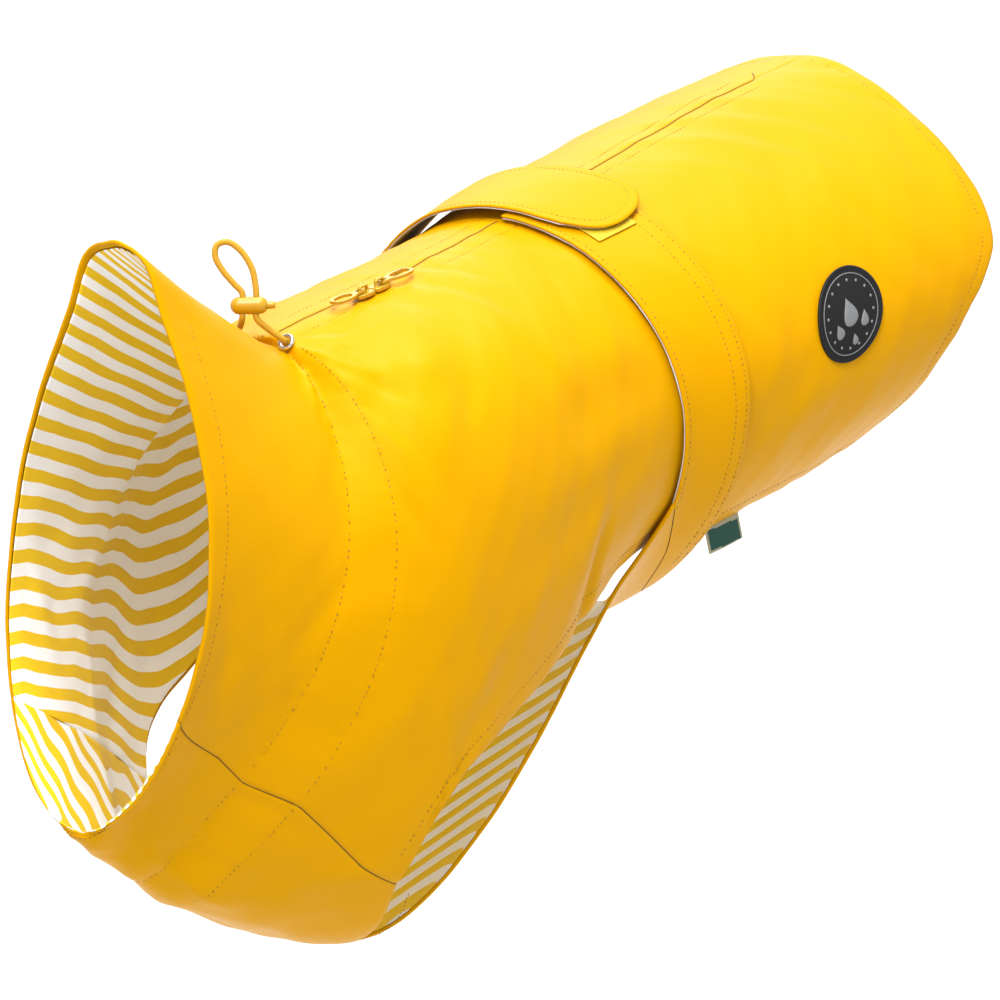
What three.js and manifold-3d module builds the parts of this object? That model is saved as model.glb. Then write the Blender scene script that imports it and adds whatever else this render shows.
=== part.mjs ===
// A dog raincoat, worn and filled out with nothing inside: millimetres, +Z up.
// The wearer faces -X and its left flank is -Y. The origin is where the wearer's back holds the coat up.
import * as THREE from "three";
import Module from "manifold-3d";
import { mergeVertices } from "three/addons/utils/BufferGeometryUtils.js";

// Cloth and seams
const CLOTH = 1.2;
const LINING = 0.9;
const LINING_GAP = 0.6;
const SEAM_GAP = 0.3;
const HEM_FOLD = 1.5;
const BACK_HEIGHT = 3;

// Belt: how far its outer face stands off the back panels, and its tab off the other wing
const BELT_OUT = 4.2;
const BELT_LINING = 0.8;
const TAB_RISE = 3.9;
const HOOK_STRIP = 0.8;

// Each section is a ring round the body: its top and bottom points and its half width.
// skew widens the upper half, corner squares the ring, and bow carries its flanks forward or back.
const SECTION_COLUMNS = ["along", "topX", "topZ", "bottomX", "bottomZ", "half", "skew", "corner", "bow"];
const SECTIONS = [
  [0, -259.5, 66.5, -334.5, -194.5, 60.5, -0.22, -0.05, 0.07], // neck rim
  [82, -170, -11, -300, -226, 71, 0.18, -0.1, 0.03], // drawstring channel, front line
  [94, -168.5, -7.5, -285, -246, 87.5, 0.12, -0.035, 0.13], // drawstring channel, rear line
  [182, -94, -5, -190.5, -300.5, 115, 0.1, 0.06, -0.02], // chest
  [326, 0, 0, -12.5, -211.5, 101, 0.2, -0.03, 0.035], // belt, front edge
  [372, 50, 4, 27.5, -208, 113, 0.17, -0.03, -0.045], // belt, rear edge
  [595, 262, 17, 258.5, -162.5, 136, -0.095, -0.055, -0.34], // rear hem
];

// The largest folds: where, how far they reach each way, how they are turned, and how high they stand
const FOLD_COLUMNS = ["along", "angle", "reachAlong", "reachAround", "turn", "height"];
const FOLDS = [
  [118, 34, 9, 26, 18, -2.2],
  [142, 30, 12, 30, 14, 1.6],
  [168, 52, 16, 30, -24, -1.6],
  [236, 78, 42, 9, 8, -1.8],
  [268, 92, 10, 16, 12, -2.6],
  [176, 96, 30, 12, 16, -1.6],
  [56, 62, 12, 34, 4, 1.8],
  [404, 88, 30, 10, -16, -1.4],
  [120, -38, 9, 28, -14, -2],
  [150, -34, 12, 26, -18, 1.5],
  [228, -74, 40, 9, -10, -1.7],
  [272, -94, 10, 18, -8, -2.4],
  [60, -58, 12, 30, -6, 1.6],
  [410, -84, 28, 10, 14, -1.3],
  [500, -8, 44, 26, 0, 2.2],
  [40, 176, 26, 36, 0, 4.4],
  [84, 170, 22, 32, 0, 5.5],
  [172, 158, 18, 26, 0, 5.5],
  [-4, 24, 24, 15, 0, 4],
  [-4, -25, 24, 16, 0, 7],
];

// Edges are rows of [along, angle]: mm down the coat, and degrees round it from the spine to the flank.
// The right side hangs a little further forward than the left.
const CHEST_SEAM = {
  left: [[0, 125], [16, 125], [60, 125.5], [96, 129], [132, 136], [154, 138]],
  right: [[0, 128], [16, 128], [60, 127.5], [90, 127], [120, 127.5], [140, 128.5]],
};
const LEG_HEM = {
  left: [
    [154, 138], [156.5, 122], [165, 113], [182, 108], [202, 106], [232, 105.5], [256, 107], [285, 112], [320, 118],
    [350, 122], [376, 124],
  ],
  right: [
    [140, 128.5], [143, 121.5], [153, 116], [172, 111], [200, 107], [232, 105.5], [256, 107], [285, 112], [320, 118],
    [350, 122], [376, 124],
  ],
};
const FLANK_HEM = [[376, 124], [410, 125.5], [440, 127], [480, 132], [512, 134]];
const REAR_HEM = [
  [595, 0], [595, 68], [588, 82], [576, 88], [560, 95], [548, 102], [540, 110], [535, 119], [529, 127], [512, 134],
];
const CHEST_HEM = [
  [154, 138], [162, 148], [167, 158], [170, 169], [171, 180], [170, 190], [167, 201], [159, 213], [140, 231.5],
];
const FLAP_SIDE = [
  [171.4, 160], [182, 153], [192, 146], [200, 141], [208, 137], [216, 133], [225, 129], [236, 125], [250, 122],
  [270, 120], [290, 119], [306, 117], [318, 112], [326, 104],
];
const BELT_SEAM = [[326, 104], [332, 111], [344, 123], [352, 135], [360, 144], [372, 151]];
const LEFT_WING_END = [[326, 2], [372, 2]];
const TAB_FRONT = [[326, 104], [326, 62], [326.5, 20], [328, 0], [329, -12], [332, -18]];
const TAB_REAR = [[372, 151], [372, 70], [376, 42], [380, 20], [380, -5], [382, -15]];
const TAB_END = [
  [332, -18], [338, -23], [345, -25.8], [353, -26.6], [361, -26], [370, -24.4], [377, -22], [381, -19], [382, -15],
];
const HOOK_STRIP_PLACE = { front: 338, rear: 362, low: 28, high: 13 };

// Steps along and round the pieces
const SEAM_ROWS = [0, 21, 42, 63, 82, 94, 112, 130];
const SEAM_STEPS = SEAM_ROWS.length;
const LEG_STEPS = 12;
const FLANK_STEPS = 8;
const ROUND_STEPS = 13;
const CHEST_ROUND = 12;
const FLAP_ROUND = 16;
const FLAP_STEPS = 13;
const BELT_SEAM_STEPS = 4;
const WING_STEPS = 20;
const TAB_STEPS = 28;
const BAND_STEPS = 4;
const STRIP_STEPS = 5;
const TAPE_STEPS = 24;
const RING_SIDES = 14;
// How sharply a grid bends to its end edge, and a wing to its seam
const END_BEND = 3;
const SEAM_BEND = 8;

// Spine zip
const ZIP = { front: 124, rear: 522, tapeHalf: 5, tapeThick: 0.7, under: 0.8, clear: 7, past: 12 };
const SPINE_GAP = 0.3;
const SLIDER = {
  long: 11.5, wide: 8, high: 2, archLong: 6.4, archHigh: 3.6, archThick: 1.2, archWide: 1.8, seat: 0.8,
};
const PULL = { neck: 2.3, wide: 4.6, thick: 1.4, barInset: 1.5, lift: 1.1 };
const SLIDERS = [
  { name: "front", along: 165, off: -7, facing: -1, pullLong: 21.5 },
  { name: "rear", along: 178, off: -7, facing: 1, pullLong: 23 },
];

// Drawstring, its eyelets and its lock
const CORD_WIDE = 3;
const CORD_SIDES = 8;
const CORD_STEPS = 40;
const EYELET = { inner: 2.2, outer: 4.3, high: 1.1 };
// Each eyelet bridges the drawstring channel from its front line to its rear line
const EYELETS = [
  { name: "left", front: 87, rear: 100, angle: 7.5, lift: 1.7 },
  { name: "right", front: 86, rear: 99, angle: -14, lift: 1.5 },
];
const LOCK = { centre: [-179.7, 0, 11.5], axis: [0.64, -0.76, -0.08], up: [0.31, 0.14, 0.94], wide: 4.2, long: 9.4 };
const STRAND_APART = 3.3;
const BORE = { wide: 2.4, deep: 3.4 };
const BUTTON = { wide: 1.9, inside: 1, out: 3.2 };
// The route from the left eyelet up through the lock, round the loop and down to the right eyelet
const CORD_ROUTE = [
  [-176, -7, -0.5], [-179.4, -3.4, 5.6], [-177.6, -2.5, 11.2], [-175.8, -1.7, 16.8],
  [-174.6, -0.6, 21], [-173.3, 1.6, 27.5], [-173.8, 6.6, 35.5], [-176.6, 11.8, 40.2], [-180.2, 15.4, 39.4],
  [-182.4, 15.4, 34.6], [-182.3, 11.8, 28], [-181, 6.8, 21.6], [-180, 3.4, 17.4], [-181.8, 2.5, 11.8],
  [-183.6, 1.8, 6.2], [-180.5, 7, 0.5],
];

// Round patch and side label
const PATCH = { along: 460, angle: 75.5, radius: 23, thick: 1.1, lift: 0.4, steps: 10 };
const LABEL = { from: 379, to: 407, drop: 13, thick: 0.9, clear: 0.8, lean: 0.12 };

const YELLOW = 0xfac800;
const CLOTH_FINISH = new THREE.MeshStandardMaterial({ color: YELLOW, roughness: 0.5, side: THREE.DoubleSide });
const LINING_FINISH = new THREE.MeshStandardMaterial({ color: 0xe9dfae, roughness: 0.85 });
const METAL_FINISH = new THREE.MeshStandardMaterial({ color: 0xd8d8dc, roughness: 0.3, metalness: 1 });
const ZIP_FINISH = new THREE.MeshStandardMaterial({ color: 0xe0b020, roughness: 0.4, metalness: 0.3 });
const CORD_FINISH = new THREE.MeshStandardMaterial({ color: 0xd8a208, roughness: 0.8 });
const RUBBER_FINISH = new THREE.MeshStandardMaterial({ color: 0x16171a, roughness: 0.6 });
const LABEL_FINISH = new THREE.MeshStandardMaterial({ color: 0x0d5a47, roughness: 0.8 });

const radians = THREE.MathUtils.degToRad;
const mix = THREE.MathUtils.lerp;

function named(columns, rows) {
  return rows.map((row) => Object.fromEntries(columns.map((name, i) => [name, row[i]])));
}

const sections = named(SECTION_COLUMNS, SECTIONS);
const folds = named(FOLD_COLUMNS, FOLDS);

// Slopes for a curve through a column that never overshoots its rows
function endSlope(near, far, first, second) {
  const slope = ((2 * near + far) * first - near * second) / (near + far);
  if (slope * first <= 0) return 0;
  if (first * second <= 0 && Math.abs(slope) > 3 * Math.abs(first)) return 3 * first;
  return slope;
}

function columnSlopes(name) {
  const gaps = sections.slice(1).map((row, i) => row.along - sections[i].along);
  const rises = sections.slice(1).map((row, i) => (row[name] - sections[i][name]) / gaps[i]);
  const last = gaps.length - 1;
  return sections.map((row, i) => {
    if (i === 0) return endSlope(gaps[0], gaps[1], rises[0], rises[1]);
    if (i > last) return endSlope(gaps[last], gaps[last - 1], rises[last], rises[last - 1]);
    if (rises[i - 1] * rises[i] <= 0) return 0;
    const before = 2 * gaps[i] + gaps[i - 1];
    const after = gaps[i] + 2 * gaps[i - 1];
    return (before + after) / (before / rises[i - 1] + after / rises[i]);
  });
}

const slopes = Object.fromEntries(SECTION_COLUMNS.slice(1).map((name) => [name, columnSlopes(name)]));

function sectionAt(along) {
  let i = 0;
  while (i < sections.length - 2 && along > sections[i + 1].along) i += 1;
  const [a, b] = [sections[i], sections[i + 1]];
  const gap = b.along - a.along;
  const t = (along - a.along) / gap;
  const ease = 3 * t * t - 2 * t * t * t;
  const leave = gap * (t * t * t - 2 * t * t + t);
  const arrive = gap * (t * t * t - t * t);
  const value = (name) => mix(a[name], b[name], ease) + leave * slopes[name][i] + arrive * slopes[name][i + 1];
  return Object.fromEntries(SECTION_COLUMNS.slice(1).map((name) => [name, value(name)]));
}

// A point of the coat's form
function formPoint(along, angle) {
  const s = sectionAt(along);
  const turn = radians(angle);
  const [c, n] = [Math.cos(turn), Math.sin(turn)];
  const tall = Math.hypot(s.topX - s.bottomX, s.topZ - s.bottomZ) / 2;
  return new THREE.Vector3(
    (s.topX + s.bottomX) / 2 + (c * (s.topX - s.bottomX)) / 2 + s.bow * tall * n * n,
    -s.half * (n * (1 + s.skew * c) + s.corner * Math.sin(3 * turn)),
    (s.topZ + s.bottomZ) / 2 + (c * (s.topZ - s.bottomZ)) / 2,
  );
}

function formNormal(along, angle) {
  const down = formPoint(along + 0.5, angle).sub(formPoint(along - 0.5, angle));
  const round = formPoint(along, angle + 0.5).sub(formPoint(along, angle - 0.5));
  return round.cross(down).normalize();
}

const MM_PER_DEGREE = 1.9;

function foldHeight(along, angle) {
  let height = 0;
  for (const fold of folds) {
    const turn = radians(fold.turn);
    const down = along - fold.along;
    const apart = THREE.MathUtils.euclideanModulo(angle - fold.angle + 180, 360) - 180;
    const round = apart * MM_PER_DEGREE;
    const u = (down * Math.cos(turn) + round * Math.sin(turn)) / fold.reachAlong;
    const v = (round * Math.cos(turn) - down * Math.sin(turn)) / fold.reachAround;
    height += fold.height * Math.exp(-(u * u + v * v) / 2);
  }
  return height;
}

// A point that lies out mm off the coat's form
function coatPoint(along, angle, out) {
  const point = formPoint(along, angle);
  return point.addScaledVector(formNormal(along, angle), out + foldHeight(along, angle));
}

// The angle that lies a given reach in mm from the spine
function spineAngle(along, reach) {
  const s = sectionAt(along);
  return THREE.MathUtils.radToDeg(reach / (s.half * (1 + s.skew + 3 * s.corner)));
}

// Points evenly spaced down an edge of [along, angle] rows
function spaced(edge, steps) {
  const reach = [0];
  for (let i = 1; i < edge.length; i += 1) {
    const [down, round] = [edge[i][0] - edge[i - 1][0], (edge[i][1] - edge[i - 1][1]) * MM_PER_DEGREE];
    reach.push(reach[i - 1] + Math.hypot(down, round));
  }
  const total = reach[reach.length - 1];
  return Array.from({ length: steps + 1 }, (_, step) => {
    const at = (total * step) / steps;
    let i = 1;
    while (i < edge.length - 1 && reach[i] < at) i += 1;
    const t = (at - reach[i - 1]) / (reach[i] - reach[i - 1]);
    return [mix(edge[i - 1][0], edge[i][0], t), mix(edge[i - 1][1], edge[i][1], t)];
  });
}

// Edges end to end, each with its own number of steps
function joined(...parts) {
  return parts.flatMap(([edge, steps], i) => spaced(edge, steps).slice(i === 0 ? 0 : 1));
}

const between = (a, b, t) => [mix(a[0], b[0], t), mix(a[1], b[1], t)];

// A grid between two edges, bent near its last row to follow an end edge
function gridBetween(first, second, round, end) {
  const last = first.length - 1;
  return first.map((_, i) =>
    Array.from({ length: round + 1 }, (_, j) => {
      const point = between(first[i], second[i], j / round);
      if (!end) return point;
      const straight = between(first[last], second[last], j / round);
      const pull = (i / last) ** END_BEND;
      return [point[0] + (end[j][0] - straight[0]) * pull, point[1] + (end[j][1] - straight[1]) * pull];
    }),
  );
}

// A lining's grid: the cloth's own, with its outline moved in by mm on each edge
function trimmed(grid, { start = 0, end = 0, first = () => 0, last = () => 0 }) {
  const moved = (a, b, mm) => between(a, b, mm / Math.hypot(b[0] - a[0], (b[1] - a[1]) * MM_PER_DEGREE));
  const rows = grid.map((row, i) => {
    const inner = row.slice(1, -1);
    const from = moved(row[0], row[1], first(i));
    const to = moved(row[row.length - 1], row[row.length - 2], last(i));
    return [from, ...inner, to];
  });
  const n = rows.length - 1;
  rows[0] = rows[0].map((point, j) => moved(point, rows[1][j], start));
  rows[n] = rows[n].map((point, j) => moved(point, rows[n - 1][j], end));
  return rows;
}

// A closed wall between an outer and an inner grid of points
function wallSolid(outer, inner) {
  const [rows, columns] = [outer.length, outer[0].length];
  const points = [...outer.flat(), ...inner.flat()];
  const at = (i, j, layer) => layer * rows * columns + i * columns + j;
  const faces = [];
  const quad = (a, b, c, d) => faces.push([a, b, c], [a, c, d]);
  for (let i = 0; i < rows - 1; i += 1) {
    for (let j = 0; j < columns - 1; j += 1) {
      quad(at(i, j, 0), at(i + 1, j, 0), at(i + 1, j + 1, 0), at(i, j + 1, 0));
      quad(at(i, j, 1), at(i, j + 1, 1), at(i + 1, j + 1, 1), at(i + 1, j, 1));
    }
    quad(at(i, 0, 0), at(i, 0, 1), at(i + 1, 0, 1), at(i + 1, 0, 0));
    quad(at(i, columns - 1, 0), at(i + 1, columns - 1, 0), at(i + 1, columns - 1, 1), at(i, columns - 1, 1));
  }
  for (let j = 0; j < columns - 1; j += 1) {
    quad(at(0, j, 0), at(0, j + 1, 0), at(0, j + 1, 1), at(0, j, 1));
    quad(at(rows - 1, j, 0), at(rows - 1, j, 1), at(rows - 1, j + 1, 1), at(rows - 1, j + 1, 0));
  }
  const volume = faces.reduce((sum, [a, b, c]) => sum + points[a].dot(points[b].clone().cross(points[c])), 0);
  if (volume < 0) faces.forEach((face) => face.reverse());
  const geometry = new THREE.BufferGeometry().setFromPoints(points);
  geometry.setIndex(faces.flat());
  geometry.computeVertexNormals();
  return geometry;
}

// Cloth over a grid of [along, angle]. side is 1 on the left, -1 on the right.
function clothSolid(grid, outerOf, thick, side = 1) {
  const layer = (drop) =>
    grid.map((row) => row.map(([along, angle]) => coatPoint(along, side * angle, outerOf(along, angle) - drop)));
  return wallSolid(layer(0), layer(thick));
}

const coat = new THREE.Group();
coat.position.z = BACK_HEIGHT;

function add(name, geometry, material) {
  const mesh = new THREE.Mesh(geometry, material);
  mesh.name = name;
  coat.add(mesh);
  return mesh;
}

const flush = () => 0;
const underCloth = () => -CLOTH - LINING_GAP;

// An edge's points at the seam rows, up to its own end
function seamRows(edge) {
  return SEAM_ROWS.map((along) => {
    const i = Math.max(1, edge.findIndex((point) => point[0] >= along));
    return between(edge[i - 1], edge[i], (along - edge[i - 1][0]) / (edge[i][0] - edge[i - 1][0]));
  });
}

// Back panels, one a side, with the collar in one with each
function panelGrid(side) {
  const low = [...seamRows(CHEST_SEAM[side]), ...joined([LEG_HEM[side], LEG_STEPS], [FLANK_HEM, FLANK_STEPS])];
  const spine = [
    ...seamRows([[0, 0], [150, 0]]),
    ...joined([[[150, 0], [376, 0]], LEG_STEPS], [[[376, 0], [595, 0]], FLANK_STEPS]),
  ].map(([along]) => [along, spineAngle(along, SPINE_GAP)]);
  return gridBetween(spine, low, ROUND_STEPS, spaced(REAR_HEM, ROUND_STEPS));
}

const insideHem = (i) => (i > SEAM_STEPS ? HEM_FOLD : 0);
for (const [name, side] of [["left", 1], ["right", -1]]) {
  const panel = panelGrid(name);
  const overTape = (along) => along > ZIP.front - ZIP.past && along < ZIP.rear + ZIP.past;
  const besideZip = (i) => (overTape(panel[i][0][0]) ? ZIP.clear : 0);
  const panelLining = trimmed(panel, { start: HEM_FOLD, end: HEM_FOLD, first: besideZip, last: insideHem });
  add(`back_${name}`, clothSolid(panel, flush, CLOTH, side), CLOTH_FINISH);
  add(`lining_${name}`, clothSolid(panelLining, underCloth, LINING, side), LINING_FINISH);
}

// Chest panel, between the two chest seams
const seamShift = SEAM_GAP / MM_PER_DEGREE;
function chestSide(side) {
  const edge = CHEST_SEAM[side];
  return [...seamRows(edge), edge[edge.length - 1]].map(([along, angle]) => [along, angle + seamShift]);
}
const acrossBody = (edge) => edge.map(([along, angle]) => [along, 360 - angle]);
const chestEnd = spaced(CHEST_HEM, CHEST_ROUND);
const chest = gridBetween(chestSide("left"), acrossBody(chestSide("right")), CHEST_ROUND, chestEnd);
add("chest_panel", clothSolid(chest, flush, CLOTH), CLOTH_FINISH);
add("lining_chest", clothSolid(trimmed(chest, { start: HEM_FOLD }), underCloth, LINING), LINING_FINISH);

// Belly flap, from the chest panel's hem back between the legs, where it hangs outside the back panels
const flapOut = (along) => BELT_OUT * THREE.MathUtils.smoothstep(along, 172, 250);
const flapSide = joined([FLAP_SIDE, FLAP_STEPS], [BELT_SEAM, BELT_SEAM_STEPS]);
const flap = gridBetween(flapSide, acrossBody(flapSide), FLAP_ROUND, null);
const flapHem = (i) => (i <= FLAP_STEPS ? HEM_FOLD : 0);
const flapLining = trimmed(flap, { end: HEM_FOLD, first: flapHem, last: flapHem });
add("belly_flap", clothSolid(flap, flapOut, CLOTH), CLOTH_FINISH);
add("lining_belly", clothSolid(flapLining, (along) => flapOut(along) - CLOTH - LINING_GAP, LINING), LINING_FINISH);

// Belt wings. Each starts at the seam on the flap, and the right one passes over the spine as a tab.
function wingGrid(front, rear, end, steps) {
  const clearSeam = (edge) => edge.map(([along, angle]) => [along, angle - 2 * seamShift]);
  const seam = clearSeam(spaced(BELT_SEAM, BAND_STEPS));
  const frontEdge = spaced([seam[0], ...front.slice(1)], steps);
  const rearEdge = spaced([seam[BAND_STEPS], ...rear.slice(1)], steps);
  const grid = gridBetween(frontEdge, rearEdge, BAND_STEPS, spaced(end, BAND_STEPS));
  return grid.map((row, i) =>
    row.map(([along, angle], j) => {
      const straight = between(seam[0], seam[BAND_STEPS], j / BAND_STEPS);
      const pull = (1 - i / steps) ** SEAM_BEND;
      return [along + (seam[j][0] - straight[0]) * pull, angle + (seam[j][1] - straight[1]) * pull];
    }),
  );
}

const leftFront = [[326, 104], [326, 2]];
const leftRear = [[372, 151], [372, 2]];
const wingHem = { end: HEM_FOLD, first: () => 1, last: () => 1 };
const wingOut = () => BELT_OUT;
const tabOut = (along, angle) => BELT_OUT + TAB_RISE * THREE.MathUtils.smoothstep(-angle, -50, -18);
const wings = [
  { name: "left", grid: wingGrid(leftFront, leftRear, LEFT_WING_END, WING_STEPS), out: wingOut, side: 1 },
  { name: "right", grid: wingGrid(TAB_FRONT, TAB_REAR, TAB_END, TAB_STEPS), out: tabOut, side: -1 },
];
for (const { name, grid, out, side } of wings) {
  add(`belt_${name}`, clothSolid(grid, out, CLOTH, side), CLOTH_FINISH);
  const under = (along, angle) => out(along, angle) - CLOTH - SEAM_GAP;
  add(`lining_belt_${name}`, clothSolid(trimmed(grid, wingHem), under, BELT_LINING, side), LINING_FINISH);
}

// Fastening strip on the left wing, under the tab's end
const strip = HOOK_STRIP_PLACE;
const stripGrid = gridBetween(
  spaced([[strip.front, strip.low], [strip.front, strip.high]], STRIP_STEPS),
  spaced([[strip.rear, strip.low], [strip.rear, strip.high]], STRIP_STEPS),
  BAND_STEPS,
  null,
);
add("fastening_strip", clothSolid(stripGrid, () => BELT_OUT + SEAM_GAP + HOOK_STRIP, HOOK_STRIP), CLOTH_FINISH);

// Zip tape under the two panels' edges
const tapeEdge = (side) =>
  spaced([[ZIP.front, 0], [ZIP.rear, 0]], TAPE_STEPS).map(([along]) => [
    along, side * spineAngle(along, ZIP.tapeHalf),
  ]);
const tapeGrid = gridBetween(tapeEdge(1), tapeEdge(-1), 2, null);
add("zip_tape", clothSolid(tapeGrid, () => -CLOTH - ZIP.under, ZIP.tapeThick), CLOTH_FINISH);

// Round patch, laid on the left panel
function patchGrid() {
  const spot = [PATCH.along, PATCH.angle];
  const downMm = formPoint(spot[0] + 1, spot[1]).distanceTo(formPoint(spot[0] - 1, spot[1])) / 2;
  const roundMm = formPoint(spot[0], spot[1] + 1).distanceTo(formPoint(spot[0], spot[1] - 1)) / 2;
  const across = (i) => mix(-1, 1, i / PATCH.steps);
  return Array.from({ length: PATCH.steps + 1 }, (_, i) =>
    Array.from({ length: PATCH.steps + 1 }, (_, j) => {
      const [u, v] = [across(i), across(j)];
      const down = PATCH.radius * u * Math.sqrt(1 - (v * v) / 2);
      const round = PATCH.radius * v * Math.sqrt(1 - (u * u) / 2);
      return [spot[0] + down / downMm, spot[1] + round / roundMm];
    }),
  );
}
add("round_patch", clothSolid(patchGrid(), () => PATCH.lift + PATCH.thick, PATCH.thick), RUBBER_FINISH);

// Folded side label, hanging from the left flank's hem
function labelGeometry() {
  const [[fromAlong, fromAngle], [toAlong, toAngle]] = FLANK_HEM;
  const layer = (out) =>
    [LABEL.from, (LABEL.from + LABEL.to) / 2, LABEL.to].map((along) => {
      const hemAngle = mix(fromAngle, toAngle, (along - fromAlong) / (toAlong - fromAlong));
      const top = coatPoint(along, hemAngle, out - CLOTH);
      return [0, 1].map((end) =>
        top.clone().add(new THREE.Vector3(0, -LABEL.drop * LABEL.lean * end, -LABEL.clear - LABEL.drop * end)),
      );
    });
  return wallSolid(layer(LABEL.thick), layer(0));
}
add("side_label", labelGeometry(), LABEL_FINISH);

// Booleans join and cut the small hard pieces
const wasm = await Module();
wasm.setup();

function solidFrom(geometry, matrix = new THREE.Matrix4()) {
  const shape = geometry.clone();
  shape.deleteAttribute("normal");
  shape.deleteAttribute("uv");
  shape.applyMatrix4(matrix);
  const merged = mergeVertices(shape, 1e-4);
  const vertProperties = new Float32Array(merged.attributes.position.array);
  const triVerts = new Uint32Array(merged.index.array);
  return new wasm.Manifold(new wasm.Mesh({ numProp: 3, vertProperties, triVerts }));
}

function geometryFrom(solid) {
  const mesh = solid.getMesh();
  const geometry = new THREE.BufferGeometry();
  geometry.setAttribute("position", new THREE.BufferAttribute(new Float32Array(mesh.vertProperties), 3));
  geometry.setIndex(Array.from(mesh.triVerts));
  geometry.computeVertexNormals();
  return geometry;
}

// A placing that turns a shape's own +Y to a direction
function placedOn(point, direction) {
  const turn = new THREE.Quaternion().setFromUnitVectors(new THREE.Vector3(0, 1, 0), direction);
  return new THREE.Matrix4().compose(point, turn, new THREE.Vector3(1, 1, 1));
}

// Eyelets: a rounded ring each
function eyeletGeometry() {
  const { inner, outer, high } = EYELET;
  const profile = [
    [inner, 0], [outer, 0], [outer, high * 0.3], [outer - 0.5, high * 0.8], [(inner + outer) / 2, high],
    [inner + 0.3, high * 0.8], [inner, high * 0.4], [inner, 0],
  ];
  return new THREE.LatheGeometry(profile.map(([r, z]) => new THREE.Vector2(r, z)), RING_SIDES);
}

// A point that lies a rise in mm above an eyelet's seat, and the direction it faces
function eyeletSeat({ front, rear, angle, lift }, rise = 0) {
  const [ahead, behind] = [coatPoint(front, angle, 0), coatPoint(rear, angle, 0)];
  const across = coatPoint(rear, angle + 5, 0).sub(coatPoint(rear, angle - 5, 0));
  const facing = across.cross(behind.clone().sub(ahead)).normalize();
  return { point: ahead.lerp(behind, 0.5).addScaledVector(facing, lift + rise), facing };
}

for (const eyelet of EYELETS) {
  const { name } = eyelet;
  const { point, facing } = eyeletSeat(eyelet);
  const place = placedOn(point, facing);
  add(`eyelet_${name}`, eyeletGeometry().applyMatrix4(place), METAL_FINISH);
}

// Drawstring
const cordEnd = (eyelet) => [0.2, 2.6].map((rise) => eyeletSeat(eyelet, rise).point);
const route = CORD_ROUTE.map((p) => new THREE.Vector3(...p));
const cordPoints = [...cordEnd(EYELETS[0]), ...route, ...cordEnd(EYELETS[1]).reverse()];
const cordCurve = new THREE.CatmullRomCurve3(cordPoints);
const cordSection = new THREE.Shape(
  Array.from({ length: CORD_SIDES }, (_, i) => {
    const turn = (2 * Math.PI * i) / CORD_SIDES;
    return new THREE.Vector2((CORD_WIDE / 2) * Math.cos(turn), (CORD_WIDE / 2) * Math.sin(turn));
  }),
);
add(
  "drawstring",
  new THREE.ExtrudeGeometry(cordSection, { steps: CORD_STEPS, extrudePath: cordCurve }),
  CORD_FINISH,
);

// Cord lock: a bean with two strand holes and a bored end for its push button
const lockCentre = new THREE.Vector3(...LOCK.centre);
const lockAxis = new THREE.Vector3(...LOCK.axis).normalize();
const lockUp = new THREE.Vector3(...LOCK.up).normalize();
const lockEnd = LOCK.long / 2 + LOCK.wide;
const alongLock = (distance) => lockCentre.clone().addScaledVector(lockAxis, distance);
const bean = new THREE.CapsuleGeometry(LOCK.wide, LOCK.long, 4, 14);
let lock = solidFrom(bean, placedOn(lockCentre, lockAxis));
for (const distance of [-STRAND_APART, STRAND_APART]) {
  const hole = new THREE.CylinderGeometry(CORD_WIDE / 2 + 0.5, CORD_WIDE / 2 + 0.5, 4 * LOCK.wide, 12);
  lock = lock.subtract(solidFrom(hole, placedOn(alongLock(distance), lockUp)));
}
const bore = new THREE.CylinderGeometry(BORE.wide, BORE.wide, 2 * BORE.deep, 16);
lock = lock.subtract(solidFrom(bore, placedOn(alongLock(lockEnd), lockAxis)));
add("cord_lock", geometryFrom(lock), CORD_FINISH);
const buttonLong = BUTTON.inside + BUTTON.out;
const buttonMiddle = alongLock(lockEnd - BUTTON.inside + buttonLong / 2);
const button = new THREE.CylinderGeometry(BUTTON.wide * 0.9, BUTTON.wide, buttonLong, 14);
add("lock_button", button.applyMatrix4(placedOn(buttonMiddle, lockAxis)), CORD_FINISH);

const outline = (points) => new THREE.Shape(points.map(([x, y]) => new THREE.Vector2(x, y)));

// Zip sliders, head to head, each with an arch that holds its pull
function sliderGeometry() {
  const { long, wide, high, archLong, archHigh, archThick, archWide } = SLIDER;
  const [x, y] = [long / 2, wide / 2];
  const plate = outline([
    [-x, -y * 0.55], [-x + 1.5, -y * 0.8], [0.5, -y], [x - 1, -y * 0.9], [x, -y * 0.5], [x, y * 0.5],
    [x - 1, y * 0.9], [0.5, y], [-x + 1.5, y * 0.8], [-x, y * 0.55],
  ]);
  const base = new THREE.ExtrudeGeometry(plate, { depth: high, bevelEnabled: false });
  const [a, top, inner] = [archLong / 2, high + archHigh, archLong / 2 - archThick];
  const arch = outline([
    [-a, high - 0.5], [-a, top - 1], [-a + 1, top], [a - 1, top], [a, top - 1], [a, high - 0.5],
    [inner, high - 0.5], [inner, top - archThick], [-inner, top - archThick], [-inner, high - 0.5],
  ]);
  const bar = new THREE.ExtrudeGeometry(arch, { depth: archWide, bevelEnabled: false });
  bar.translate(0, 0, -archWide / 2).rotateX(Math.PI / 2);
  return geometryFrom(solidFrom(base).add(solidFrom(bar)));
}

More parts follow.
